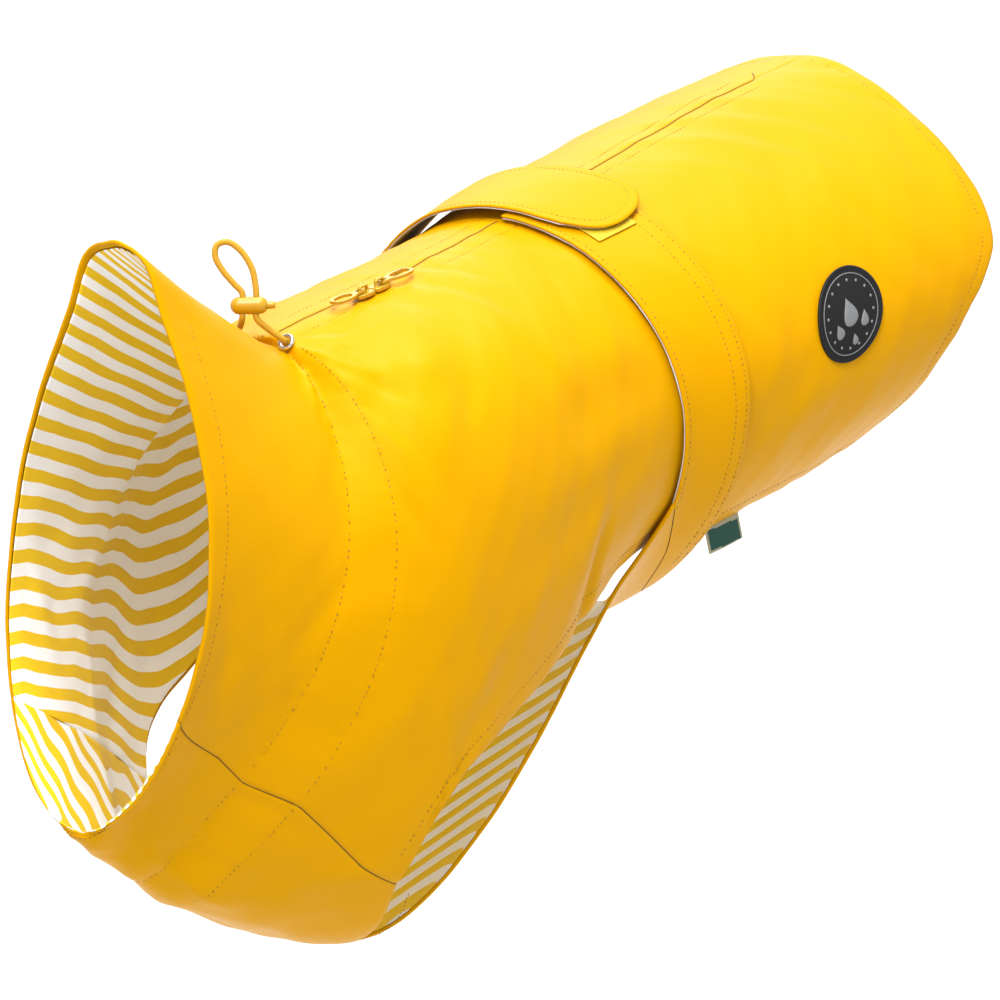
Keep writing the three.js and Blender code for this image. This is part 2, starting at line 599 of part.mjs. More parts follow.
// A pull points along -X from its hinge bar, which is at the origin
function pullGeometry(long) {
  const { neck, wide, thick, barInset } = PULL;
  const bar = thick / 2;
  const side = [
    [bar, neck], [-5.2, neck], [-8.5, wide * 0.86], [-13, wide], [-long + 4, wide * 0.9], [-long + 1, wide * 0.5],
  ];
  const shape = outline([...side, ...side.map(([x, y]) => [x, -y]).reverse()]);
  const eye = [[-bar, -barInset + 0.3], [-bar, barInset - 0.3], [-4, barInset - 0.3], [-4, -barInset + 0.3]];
  shape.holes.push(new THREE.Path(eye.map(([x, y]) => new THREE.Vector2(x, y))));
  const window = [[-7.6, 1], [-9.6, 2.6], [-13, 3.1], [-long + 4.4, 2.6], [-long + 2.6, 1]];
  const ring = [...window, ...window.map(([x, y]) => [x, -y]).reverse()];
  shape.holes.push(new THREE.Path(ring.map(([x, y]) => new THREE.Vector2(x, y))));
  return new THREE.ExtrudeGeometry(shape, { depth: thick, bevelEnabled: false }).translate(0, 0, -thick / 2);
}

for (const { name, along, off, facing, pullLong } of SLIDERS) {
  const spot = coatPoint(along, spineAngle(along, -off), SLIDER.seat);
  const turn = facing === -1 ? 0 : Math.PI;
  const slider = add(`slider_${name}`, sliderGeometry(), ZIP_FINISH);
  slider.position.copy(spot);
  slider.rotation.z = turn;
  const hinge = SLIDER.archLong / 2 - SLIDER.archThick - PULL.thick / 2 - 0.3;
  const pull = add(`pull_${name}`, pullGeometry(pullLong), ZIP_FINISH);
  pull.position.copy(spot).add(new THREE.Vector3(facing * hinge, 0, SLIDER.high + PULL.lift));
  pull.rotation.z = turn;
}

export default coat;
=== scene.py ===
# A dog raincoat, worn and filled out with nothing inside it.
# Tables hold millimetres and degrees. The wearer faces -X and its left flank is -Y.
import math

import bmesh
import bpy
import numpy as np
from mathutils import Matrix, Vector
from mathutils.kdtree import KDTree


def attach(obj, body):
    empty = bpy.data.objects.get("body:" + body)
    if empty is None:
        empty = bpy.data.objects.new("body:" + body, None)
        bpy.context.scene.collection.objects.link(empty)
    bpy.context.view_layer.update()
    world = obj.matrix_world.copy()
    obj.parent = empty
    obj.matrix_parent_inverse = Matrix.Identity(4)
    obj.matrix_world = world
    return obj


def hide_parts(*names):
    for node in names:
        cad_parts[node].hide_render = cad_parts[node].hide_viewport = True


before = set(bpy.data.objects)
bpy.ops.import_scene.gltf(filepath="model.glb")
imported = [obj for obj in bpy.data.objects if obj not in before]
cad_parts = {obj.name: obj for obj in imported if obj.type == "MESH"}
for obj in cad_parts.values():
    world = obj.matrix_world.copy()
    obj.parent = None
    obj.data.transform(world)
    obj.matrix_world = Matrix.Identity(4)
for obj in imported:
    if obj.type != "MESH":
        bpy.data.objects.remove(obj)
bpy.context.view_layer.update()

MM = 0.001
BACK_HEIGHT = 3.0
MM_PER_DEGREE = 1.9

# Camera
LENS_MM = 169
CAMERA_AT = (-1.6752, -1.4742, 0.6407)
CAMERA_RIGHT = (0.634, -0.766, -0.104)
SENSOR_MM = 36
CAMERA_BACK = (-0.705, -0.628, 0.331)

# Cloth
SHOWN_CLOTH = 0.6
SHOWN_LINING = 0.4
LINING_UNDER = 1.8
HEM_THICK = 2.0
SEAM_THICK = 1.1
BELT_HEM = 1.3
BACKING_UNDER = 1.5
BELT_SHARE = 0.35
FLAP_SHARE = 0.5
HEM_FOLD = 1.5
SEAM_GAP = 0.3
BELT_OUT = 4.2
TAB_RISE = 3.9
STRIPE_PERIOD = 11.0

# Each section is a ring round the body: its top and bottom points and its half width
SECTION_COLUMNS = ["along", "topX", "topZ", "bottomX", "bottomZ", "half", "skew", "corner", "bow"]
SECTIONS = np.array([
    [0, -259.5, 66.5, -334.5, -194.5, 60.5, -0.22, -0.05, 0.07],
    [82, -170, -11, -300, -226, 71, 0.18, -0.1, 0.03],
    [94, -168.5, -7.5, -285, -246, 87.5, 0.12, -0.035, 0.13],
    [182, -94, -5, -190.5, -300.5, 115, 0.1, 0.06, -0.02],
    [326, 0, 0, -12.5, -211.5, 101, 0.2, -0.03, 0.035],
    [372, 50, 4, 27.5, -208, 113, 0.17, -0.03, -0.045],
    [595, 262, 17, 258.5, -162.5, 136, -0.095, -0.055, -0.34],
])

# The largest folds, as in the solids
FOLDS = [
    # along, angle, reachAlong, reachAround, turn, height
    [118, 34, 9, 26, 18, -2.2],
    [142, 30, 12, 30, 14, 1.6],
    [168, 52, 16, 30, -24, -1.6],
    [236, 78, 42, 9, 8, -1.8],
    [268, 92, 10, 16, 12, -2.6],
    [176, 96, 30, 12, 16, -1.6],
    [56, 62, 12, 34, 4, 1.8],
    [404, 88, 30, 10, -16, -1.4],
    [120, -38, 9, 28, -14, -2],
    [150, -34, 12, 26, -18, 1.5],
    [228, -74, 40, 9, -10, -1.7],
    [272, -94, 10, 18, -8, -2.4],
    [60, -58, 12, 30, -6, 1.6],
    [410, -84, 28, 10, 14, -1.3],
    [500, -8, 44, 26, 0, 2.2],
    [40, 176, 26, 36, 0, 4.4],
    [84, 170, 22, 32, 0, 5.5],
    [172, 158, 18, 26, 0, 5.5],
    [-4, 24, 24, 15, 0, 4],
    [-4, -25, 24, 16, 0, 7],
]

# Finer soft troughs and ridges, each laid from one spot to another
CREASES = [
    # fromAlong, fromAngle, toAlong, toAngle, width, height
    [142, 18, 94, 42, 6, -1.1],
    [160, 20, 134, 50, 7, 1.0],
    [148, 34, 160, 42, 9, -0.9],
    [222, 56, 312, 68, 11, -1.3],
    [230, 48, 300, 56, 10, 0.9],
    [164, 56, 186, 75, 8, 0.7],
    [264, 88, 252, 107, 4, -1.6],
    [272, 90, 262, 108, 5, 1.1],
    [250, 97, 300, 112, 9, -1.5],
    [202, 85, 144, 99, 8, 0.8],
    [188, 90, 150, 112, 7, -0.8],
    [10, 88, 30, 112, 6, -0.8],
    [20, 66, 50, 80, 8, 0.8],
    [62, 95, 90, 75, 6, -0.7],
    [98, 121, 122, 100, 7, 0.8],
    [74, 107, 100, 116, 5, -0.6],
    [468, 8, 402, 20, 8, 0.5],
    [500, 22, 426, 44, 12, -0.6],
    [586, 40, 582, 66, 7, 0.8],
    [402, 60, 398, 92, 7, 0.6],
    [426, 104, 472, 102, 9, -0.8],
    [288, 86, 252, 84, 6, 0.6],
    [218, 20, 258, 32, 7, -0.6],
    [116, 15, 148, 15, 3, 0.7],
    [62, 24, 80, 34, 4, -0.3],
    [22, 10, 44, 14, 5, 0.8],
    [4, 28, 4, 50, 6, -0.7],
    [502, 79, 552, 100, 10, 0.6],
    [288, 36, 296, 54, 7, 0.6],
    [108, 7, 134, 11, 2.6, -0.8],
    [98, 11, 112, 24, 2.6, -0.9],
    [84, 11, 60, 33, 3, -0.3],
    [86, 14, 66, 40, 3, 0.6],
    [96, 14, 124, 30, 3.4, 0.7],
    [99, 40, 112, 52, 3.4, 0.6],
    [99, 62, 116, 70, 3.8, -0.5],
    [98, 84, 114, 84, 4, 0.5],
    [72, 160, 104, 162, 4, 1.1],
    [84, 150, 108, 154, 4, -0.9],
    [86, 131, 100, 135, 3, -0.8],
    [122, 142, 160, 134, 5, 0.7],
    [50, 128, 98, 145, 6, -0.7],
    [118, 165, 150, 170, 7, 0.7],
    [98, 180, 132, 176, 5, -0.8],
    [20, 172, 60, 186, 6, 0.9],
    [142, -18, 94, -40, 6, -1.0],
    [158, -22, 136, -52, 7, 0.9],
    [220, -52, 306, -66, 11, -1.2],
    [232, -44, 300, -54, 10, 0.8],
    [262, -88, 252, -107, 5, -1.4],
    [250, -96, 300, -112, 9, -1.3],
    [200, -84, 146, -100, 8, 0.8],
    [12, -84, 34, -110, 6, -0.9],
    [22, -62, 52, -80, 8, 0.8],
    [62, -96, 90, -76, 6, -0.8],
    [98, -120, 120, -100, 7, 0.8],
    [74, -106, 100, -116, 5, -0.7],
    [494, -20, 426, -46, 12, -0.6],
    [586, -42, 582, -68, 7, 0.7],
    [402, -58, 398, -94, 7, 0.6],
    [430, -104, 476, -102, 9, -0.8],
    [500, -78, 550, -100, 10, 0.6],
    [100, -10, 128, -14, 2.6, -0.8],
    [96, -16, 120, -32, 3.4, 0.7],
    [84, -14, 62, -36, 3, -0.9],
    [6, -30, 8, -56, 6, -0.8],
    [99, -64, 116, -72, 3.8, -0.5],
    [84, -150, 108, -154, 4, -0.8],
    [118, -142, 152, -136, 5, 0.7],
    [104, 9, 122, 20, 3.2, -0.9],
    [101, 15, 116, 31, 3, 0.8],
    [103, 24, 128, 36, 4, -0.8],
    [120, 26, 146, 30, 6, 0.9],
    [140, 60, 190, 88, 13, -0.9],
    [196, 20, 250, 44, 15, 0.8],
    [420, 30, 560, 60, 22, 0.9],
    [410, 62, 540, 96, 16, -0.9],
    [440, 96, 520, 118, 9, 0.7],
    [116, 150, 128, 178, 5, 0.8],
    [100, 146, 150, 158, 6, -0.9],
    [64, 150, 78, 182, 6, 0.8],
    [30, 150, 58, 168, 7, -0.8],
    [130, 168, 158, 176, 4.5, -0.9],
    [190, 160, 216, 196, 8, 0.7],
    [420, -30, 560, -60, 22, 0.9],
    [410, -62, 540, -96, 16, -0.9],
    [140, -60, 190, -88, 13, -0.9],
]
CREASE_SCALE = 1.3

# Edges are rows of [along, angle], as in the solids
CHEST_SEAM = {
    "left": [[0, 125], [16, 125], [60, 125.5], [96, 129], [132, 136], [154, 138]],
    "right": [[0, 128], [16, 128], [60, 127.5], [90, 127], [120, 127.5], [140, 128.5]],
}
LEG_HEM = {
    "left": [
        [154, 138], [156.5, 122], [165, 113], [182, 108], [202, 106], [232, 105.5], [256, 107], [285, 112],
        [320, 118], [350, 122], [376, 124],
    ],
    "right": [
        [140, 128.5], [143, 121.5], [153, 116], [172, 111], [200, 107], [232, 105.5], [256, 107], [285, 112],
        [320, 118], [350, 122], [376, 124],
    ],
}
FLANK_HEM = [[376, 124], [410, 125.5], [440, 127], [480, 132], [512, 134]]
REAR_HEM = [
    [595, 0], [595, 68], [588, 82], [576, 88], [560, 95], [548, 102], [540, 110], [535, 119], [529, 127],
    [512, 134],
]
CHEST_HEM = [
    [154, 138], [162, 148], [167, 158], [170, 169], [171, 180], [170, 190], [167, 201], [159, 213],
    [140, 231.5],
]
FLAP_SIDE = [
    [171.4, 160], [182, 153], [192, 146], [200, 141], [208, 137], [216, 133], [225, 129], [236, 125],
    [250, 122], [270, 120], [290, 119], [306, 117], [318, 112], [326, 104],
]
BELT_SEAM = [[326, 104], [332, 111], [344, 123], [352, 135], [360, 144], [372, 151]]
LEFT_WING_END = [[326, 2], [372, 2]]
TAB_FRONT = [[326, 104], [326, 62], [326.5, 20], [328, 0], [329, -12], [332, -18]]
TAB_REAR = [[372, 151], [372, 70], [376, 42], [380, 20], [380, -5], [382, -15]]
TAB_END = [
    [332, -18], [338, -23], [345, -25.8], [353, -26.6], [361, -26], [370, -24.4], [377, -22], [381, -19],
    [382, -15],
]
HOOK_STRIP = {"front": 338, "rear": 362, "low": 28, "high": 13, "thick": 0.8, "rib": 0.22}
ZIP = {"front": 124, "rear": 522, "tapeHalf": 5, "under": 2.0, "thick": 0.6, "tooth": 0.25, "toothHalf": 0.3}
TAPE_ROOM = {"past": 12, "beside": 7, "elsewhere": 0.4}

# Steps of the shown cloth
SEAM_ROWS, LEG_ROWS, FLANK_ROWS, PANEL_COLUMNS = 64, 88, 84, 100
CHEST_COLUMNS, FLAP_ROWS, FLAP_COLUMNS = 96, 90, 110
BELT_SEAM_ROWS = 20
WING_COLUMNS = 20
WING_ROWS = {"left": 110, "right": 170}

EYELET = {"inner": 2.2, "outer": 4.3, "high": 1.1}
EYELETS = [
    {"name": "left", "front": 87, "rear": 100, "angle": 7.5, "lift": 1.7},
    {"name": "right", "front": 86, "rear": 99, "angle": -14, "lift": 1.5},
]
LOCK = {"centre": (-179.7, 0, 11.5), "axis": (0.64, -0.76, -0.08), "up": (0.31, 0.14, 0.94)}
LOCK_SIZE = {"wide": 4.2, "long": 9.4, "apart": 3.3, "hole": 2.0, "seat": 2.4, "seatDepth": 6.8}
CORD_WIDE = 3.0
CORD_ROUTE = [
    (-176, -7, -0.5), (-179.4, -3.4, 5.6), (-177.6, -2.5, 11.2), (-175.8, -1.7, 16.8),
    (-174.6, -0.6, 21), (-173.3, 1.6, 27.5), (-173.8, 6.6, 35.5), (-176.6, 11.8, 40.2), (-180.2, 15.4, 39.4),
    (-182.4, 15.4, 34.6), (-182.3, 11.8, 28), (-181, 6.8, 21.6), (-180, 3.4, 17.4), (-181.8, 2.5, 11.8),
    (-183.6, 1.8, 6.2), (-180.5, 7, 0.5),
]
PATCH = {"along": 460, "angle": 75.5, "radius": 23.0, "lift": 0.3, "thick": 1.2}
LABEL = {"from": 379, "to": 407, "drop": 13, "thick": 0.9, "clear": 0.8, "lean": 0.12, "cloth": 1.2}


# The coat's form
def end_slope(near, far, first, second):
    slope = ((2 * near + far) * first - near * second) / (near + far)
    if slope * first <= 0:
        return 0.0
    if first * second <= 0 and abs(slope) > 3 * abs(first):
        return 3 * first
    return slope


def column_slopes(values):
    gaps = np.diff(SECTIONS[:, 0])
    rises = np.diff(values) / gaps
    found = np.zeros(len(values))
    for i in range(1, len(values) - 1):
        if rises[i - 1] * rises[i] > 0:
            before = 2 * gaps[i] + gaps[i - 1]
            after = gaps[i] + 2 * gaps[i - 1]
            found[i] = (before + after) / (before / rises[i - 1] + after / rises[i])
    found[0] = end_slope(gaps[0], gaps[1], rises[0], rises[1])
    found[-1] = end_slope(gaps[-1], gaps[-2], rises[-1], rises[-2])
    return found


SLOPES = np.stack([column_slopes(SECTIONS[:, j]) for j in range(1, len(SECTION_COLUMNS))], 1)


def section_at(along):
    starts = SECTIONS[:, 0]
    i = np.clip(np.searchsorted(starts, along, side="right") - 1, 0, len(starts) - 2)
    gap = (starts[i + 1] - starts[i])[..., None]
    t = (along - starts[i])[..., None] / gap
    ease = 3 * t**2 - 2 * t**3
    leave = gap * (t**3 - 2 * t**2 + t)
    arrive = gap * (t**3 - t**2)
    low, high = SECTIONS[i, 1:], SECTIONS[i + 1, 1:]
    values = low + (high - low) * ease + leave * SLOPES[i] + arrive * SLOPES[i + 1]
    return {name: values[..., j] for j, name in enumerate(SECTION_COLUMNS[1:])}


def form_point(along, angle):
    along, angle = np.broadcast_arrays(np.asarray(along, float), np.asarray(angle, float))
    s = section_at(along)
    turn = np.radians(angle)
    c, n = np.cos(turn), np.sin(turn)
    tall = np.hypot(s["topX"] - s["bottomX"], s["topZ"] - s["bottomZ"]) / 2
    x = (s["topX"] + s["bottomX"]) / 2 + c * (s["topX"] - s["bottomX"]) / 2 + s["bow"] * tall * n * n
    y = -s["half"] * (n * (1 + s["skew"] * c) + s["corner"] * np.sin(3 * turn))
    z = (s["topZ"] + s["bottomZ"]) / 2 + c * (s["topZ"] - s["bottomZ"]) / 2 + BACK_HEIGHT
    return np.stack([x, y, z], -1)


def form_normal(along, angle):
    down = form_point(along + 0.5, angle) - form_point(along - 0.5, angle)
    round_ = form_point(along, angle + 0.5) - form_point(along, angle - 0.5)
    normal = np.cross(round_, down)
    return normal / np.linalg.norm(normal, axis=-1, keepdims=True)


def turned(angle, middle):
    return (angle - middle + 180) % 360 - 180


def fold_height(along, angle):
    height = np.zeros(np.broadcast(along, angle).shape)
    for at, middle, reach_along, reach_around, turn, high in FOLDS:
        turn = math.radians(turn)
        down = along - at
        round_ = turned(angle, middle) * MM_PER_DEGREE
        u = (down * math.cos(turn) + round_ * math.sin(turn)) / reach_along
        v = (round_ * math.cos(turn) - down * math.sin(turn)) / reach_around
        height = height + high * np.exp(-(u * u + v * v) / 2)
    return height


def coat_point(along, angle, out):
    along, angle = np.broadcast_arrays(np.asarray(along, float), np.asarray(angle, float))
    rise = (out + fold_height(along, angle))[..., None]
    return form_point(along, angle) + form_normal(along, angle) * rise


def spine_angle(along, reach):
    s = section_at(np.asarray(along, float))
    return np.degrees(reach / (s["half"] * (1 + s["skew"] + 3 * s["corner"])))


# Edges and grids of [along, angle]
def path_reach(points):
    """How far each point lies along the line through them"""
    return np.concatenate([[0], np.cumsum(np.linalg.norm(np.diff(points, axis=0), axis=1))])


def spaced(edge, steps):
    edge = np.asarray(edge, float)
    flat = edge * [1, MM_PER_DEGREE]
    reach = path_reach(flat)
    at = np.linspace(0, reach[-1], steps + 1)
    return np.stack([np.interp(at, reach, edge[:, 0]), np.interp(at, reach, edge[:, 1])], 1)


def softened(edge, rounds):
    edge = edge.copy()
    for _ in range(rounds):
        edge[1:-1] = (edge[:-2] + 2 * edge[1:-1] + edge[2:]) / 4
    return edge


def joined(*parts):
    pieces = [spaced(edge, steps)[0 if i == 0 else 1:] for i, (edge, steps) in enumerate(parts)]
    return np.concatenate(pieces)


def seam_rows(edge):
    edge = np.asarray(edge, float)
    end = edge[-1, 0]
    along = np.linspace(0, 1, SEAM_ROWS + 1)
    along = np.where(along < 0.85, along / 0.85 * 130, 130 + (along - 0.85) / 0.15 * (end - 130))
    return np.stack([along, np.interp(along, edge[:, 0], edge[:, 1])], 1)


def grid_between(first, second, columns, end=None):
    t = np.linspace(0, 1, columns + 1)[None, :, None]
    grid = first[:, None] * (1 - t) + second[:, None] * t
    if end is not None:
        pull = (np.linspace(0, 1, len(first)) ** 3)[:, None, None]
        grid = grid + (end[None] - grid[-1][None]) * pull
    return grid


def trimmed(grid, start=0, end=0, first=0, last=0):
    def moved(a, b, mm):
        gap = np.linalg.norm((b - a) * [1, MM_PER_DEGREE], axis=-1, keepdims=True)
        return a + (b - a) * np.minimum(mm / gap, 0.9)

    grid = grid.copy()
    first = np.broadcast_to(first, len(grid))[:, None]
    last = np.broadcast_to(last, len(grid))[:, None]
    grid[:, 0] = moved(grid[:, 0], grid[:, 1], first)
    grid[:, -1] = moved(grid[:, -1], grid[:, -2], last)
    grid[0] = moved(grid[0], grid[1], start)
    grid[-1] = moved(grid[-1], grid[-2], end)
    return grid


def inset(edge, mm):
    flat = np.asarray(edge, float) * [1, MM_PER_DEGREE]
    tangent = np.gradient(flat, axis=0)
    tangent = tangent / np.linalg.norm(tangent, axis=1, keepdims=True)
    normal = np.stack([-tangent[:, 1], tangent[:, 0]], 1)
    return (flat + normal * mm) / [1, MM_PER_DEGREE]


# Small unevenness of cloth, the same on each run
WAVES = [
    # reachAlong, reachAround, phase, height
    (61, 83, 0.4, 0.22), (37, -52, 2.1, 0.16), (-29, 44, 4.4, 0.12), (23, 31, 1.2, 0.08),
    (17, -19, 5.1, 0.05),
]


def unevenness(along, angle):
    round_ = angle * MM_PER_DEGREE
    total = 0
    for down_reach, round_reach, phase, height in WAVES:
        bend = phase + 1.3 * np.sin(round_ / 71 + phase)
        turn = 2 * np.pi * (along / down_reach + round_ / round_reach)
        total = total + height * np.sin(turn + bend)
    return total


def crease_height(along, angle):
    height = np.zeros(np.broadcast(along, angle).shape)
    for a0, t0, a1, t1, width, high in CREASES:
        ends = np.array([a1 - a0, (t1 - t0) * MM_PER_DEGREE])
        length = np.hypot(*ends)
        direction = ends / length
        down = along - a0
        round_ = turned(angle, t0) * MM_PER_DEGREE
        run = (down * direction[0] + round_ * direction[1]) / length
        off = round_ * direction[0] - down * direction[1] + 0.12 * length * (run - run * run)
        taper = np.clip((run + 0.35) / 0.6, 0, 1) * np.clip((1.35 - run) / 0.6, 0, 1)
        taper = taper * taper * (3 - 2 * taper)
        height = height + high * taper * np.exp(-((off / width) ** 2) / 2)
    return CREASE_SCALE * height


# Stitched lines: each presses a groove into the cloth, puckers it, and carries stitches
LINE_REACH = 11
PUCKER_REACH = 4.2
lines = []


def add_line(edge, groove=0.35, width=1.1, pucker=0.16, period=8.5, out=0.0, stitched=True):
    edge = np.asarray(edge, float)
    points = form_point(edge[:, 0], edge[:, 1])
    reach = path_reach(points)
    tree = KDTree(len(points))
    for i, point in enumerate(points):
        tree.insert(point, i)
    tree.balance()
    low, high = points.min(0) - LINE_REACH - 1, points.max(0) + LINE_REACH + 1
    lines.append({
        "edge": edge, "points": points, "reach": reach, "tree": tree, "low": low, "high": high,
        "groove": groove, "width": width, "pucker": pucker, "period": period, "out": out,
        "stitched": stitched,
    })


def line_height(points, out):
    height = np.zeros(len(points))
    for line in lines:
        if line["out"] != out:
            continue
        near = np.all((points > line["low"]) & (points < line["high"]), axis=1)
        for i in np.flatnonzero(near):
            _, found, distance = line["tree"].find(points[i])
            if distance > LINE_REACH:
                continue
            reach = line["reach"][found]
            wave = np.sin(2 * np.pi * reach / line["period"] + 1.7 * np.sin(reach / 23))
            strength = 0.6 + 0.4 * np.sin(reach / 31 + 1)
            height[i] -= line["groove"] * math.exp(-((distance / line["width"]) ** 2))
            height[i] += line["pucker"] * strength * wave * math.exp(-((distance / PUCKER_REACH) ** 2))
    return height


def detail(along, angle, out_level, share=1.0):
    along, angle = np.broadcast_arrays(along, angle)
    height = crease_height(along, angle) + unevenness(along, angle)
    points = form_point(along, angle).reshape(-1, 3)
    return share * height + line_height(points, out_level).reshape(height.shape)


# Meshes
def linked(name, data):
    """A new object in the scene that shows the data"""
    obj = bpy.data.objects.new(name, data)
    bpy.context.scene.collection.objects.link(obj)
    return obj


def new_object(name, points, faces, material, uv=None):
    mesh = bpy.data.meshes.new(name)
    mesh.from_pydata([tuple(p) for p in np.asarray(points) * MM], [], faces)
    mesh.update()
    mesh.shade_smooth()
    if uv is not None:
        layer = mesh.uv_layers.new(name="cloth")
        index = np.empty(len(mesh.loops), dtype=np.int32)
        mesh.loops.foreach_get("vertex_index", index)
        layer.data.foreach_set("uv", np.asarray(uv, np.float32)[index].ravel())
    mesh.materials.append(material)
    return linked(name, mesh)


def stand_for(obj, node, body):
    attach(obj, body)
    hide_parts(node)
    return obj


def outward_faces(points, faces):
    """The faces, all turned over if the closed form they bound is inside out"""
    points = np.asarray(points, float)
    corners = [(face[0], face[j], face[j + 1]) for face in faces for j in range(1, len(face) - 1)]
    a, b, c = (points[np.array(corners)[:, k]] for k in range(3))
    volume = np.einsum("ij,ij->", a, np.cross(b, c))
    return [tuple(reversed(face)) for face in faces] if volume < 0 else faces


def tube_faces(rings, steps, first=0):
    """The sides and both ends of a tube whose rings of points follow one another"""
    faces = []
    for ring in range(rings - 1):
        a, b = first + ring * steps, first + (ring + 1) * steps
        for k in range(steps):
            n = (k + 1) % steps
            faces.append((a + k, a + n, b + n, b + k))
    last = first + (rings - 1) * steps
    faces.append(tuple(first + k for k in reversed(range(steps))))
    faces.append(tuple(last + k for k in range(steps)))
    return faces


def torus_faces(rings, steps):
    """The faces of rings of points that follow one another and close on themselves"""
    faces = []
    for ring in range(rings):
        a, b = ring * steps, (ring + 1) % rings * steps
        for k in range(steps):
            n = (k + 1) % steps
            faces.append((a + k, b + k, b + n, a + n))
    return faces


def shell(outer, inner, roundness=0.45):
    """A closed sheet between two grids of points, with a rounded edge"""
    rows, columns = outer.shape[:2]
    count = rows * columns
    loop = [(0, j) for j in range(columns - 1)] + [(i, columns - 1) for i in range(rows - 1)]
    loop += [(rows - 1, j) for j in range(columns - 1, 0, -1)] + [(i, 0) for i in range(rows - 1, 0, -1)]
    edge = np.array([i * columns + j for i, j in loop])
    inward = np.array([
        min(max(i, 1), rows - 2) * columns + min(max(j, 1), columns - 2) for i, j in loop
    ])
    a, b = outer.reshape(-1, 3), inner.reshape(-1, 3)
    away = a[edge] - a[inward]
    away /= np.linalg.norm(away, axis=1, keepdims=True) + 1e-9
    thick = np.linalg.norm(a[edge] - b[edge], axis=1, keepdims=True)
    middle = (a[edge] + b[edge]) / 2 + away * thick * roundness
    points = np.concatenate([a, b, middle])
    faces = []
    for i in range(rows - 1):
        for j in range(columns - 1):
            p, q = i * columns + j, (i + 1) * columns + j
            faces.append((p, q, q + 1, p + 1))
            faces.append((count + p, count + p + 1, count + q + 1, count + q))
    size = len(edge)
    for k in range(size):
        n = (k + 1) % size
        m0, m1 = 2 * count + k, 2 * count + n
        faces.append((edge[k], edge[n], m1, m0))
        faces.append((m0, m1, count + edge[n], count + edge[k]))
    faces = [tuple(int(v) for v in face) for face in faces]
    uv_index = np.concatenate([np.arange(count), np.arange(count), edge])
    return points, outward_faces(points, faces), uv_index


def cloth_piece(name, grid, out, thick, material, side=1, level=0.0, share=1.0, hem=None, stripe=None):
    """A sheet over a grid of [along, angle]. stripe gives each spot's distance in mm across the stripes."""
    along, angle = grid[..., 0], side * grid[..., 1]
    level_out = out(grid[..., 0], grid[..., 1]) if callable(out) else np.full(along.shape, float(out))
    rise = detail(along, angle, level, share)
    outer = coat_point(along, angle, level_out + rise)
    thickness = np.full(along.shape, float(thick))
    if hem is not None:
        thickness = np.maximum(thickness, hem)
    inner = coat_point(along, angle, level_out + rise - thickness)
    points, faces, uv_index = shell(outer, inner)
    flat_round = angle * MM_PER_DEGREE
    across = stripe(along, flat_round, outer) if stripe else flat_round
    uv = np.stack([along.ravel(), across.ravel()], 1)[uv_index] * MM * 10
    return new_object(name, points, faces, material, uv)


def hem_rows(grid, start=0.0, end=0.0, first=0.0, last=0.0):
    """How thick the sheet's edge rows are, where it is folded over"""
    thick = np.zeros(grid.shape[:2])
    thick[:, 0] = first
    thick[:, -1] = last
    thick[0] = np.maximum(thick[0], start)
    thick[-1] = np.maximum(thick[-1], end)
    return thick


# How far each spot lies across the lining's stripes, in mm
BACK_CLIMB = [
    # along, rise
    [0, 0], [12, 6], [30, 11.5], [60, 16.5], [80, 18], [110, 18.5], [150, 17], [600, 17],
]
CHEST_ACROSS = (1.63, -1.39, 0.84)
FLAP_ACROSS = (-0.21, 1.14, 1.71)


def back_stripe(along, flat_round, points):
    table = np.array(BACK_CLIMB)
    wobble = 0.7 * np.sin(along / 17 + flat_round / 61) + 0.5 * np.sin(along / 7.3 - flat_round / 33)
    return np.abs(flat_round) + np.interp(along, table[:, 0], table[:, 1]) + wobble


def chest_stripe(along, flat_round, points):
    wobble = 1.8 * np.sin(along / 11 + flat_round / 17) + 1.0 * np.sin(along / 5.1 - flat_round / 9)
    return points @ np.array(CHEST_ACROSS) + wobble


def flap_stripe(along, flat_round, points):
    wobble = 0.9 * np.sin(along / 13 + flat_round / 15)
    return points @ np.array(FLAP_ACROSS) + wobble


# Materials
def principled(name, **inputs):
    material = bpy.data.materials.new(name)
    material.use_nodes = True
    shader = material.node_tree.nodes["Principled BSDF"]
    for key, value in inputs.items():
        shader.inputs[key.replace("_", " ")].default_value = value
    return material, material.node_tree, shader


def add_node(tree, kind, **values):
    node = tree.nodes.new(kind)
    for key, value in values.items():
        if hasattr(node, key):
            setattr(node, key, value)
        else:
            node.inputs[key.replace("_", " ")].default_value = value
    return node


def mix_colours(tree, factor, first, second):
    node = tree.nodes.new("ShaderNodeMix")
    node.data_type = "RGBA"
    tree.links.new(factor, node.inputs["Factor"])
    for socket, value in ((node.inputs[6], first), (node.inputs[7], second)):
        if hasattr(value, "links"):
            tree.links.new(value, socket)
        else:
            socket.default_value = (*value, 1)
    return node.outputs[2]


def grain_bump(tree, shader, layers):
    """Bump from noise layers, each [scale, strength, distance]"""
    source = tree.nodes.new("ShaderNodeTexCoord")
    previous = None
    for scale, strength, distance in layers:
        noise = add_node(tree, "ShaderNodeTexNoise", Scale=scale, Detail=3.0, Roughness=0.6)
        bump = add_node(tree, "ShaderNodeBump", Strength=strength, Distance=distance)
        tree.links.new(source.outputs["Object"], noise.inputs["Vector"])
        tree.links.new(noise.outputs["Fac"], bump.inputs["Height"])
        if previous is not None:
            tree.links.new(previous, bump.inputs["Normal"])
        previous = bump.outputs["Normal"]
    tree.links.new(previous, shader.inputs["Normal"])


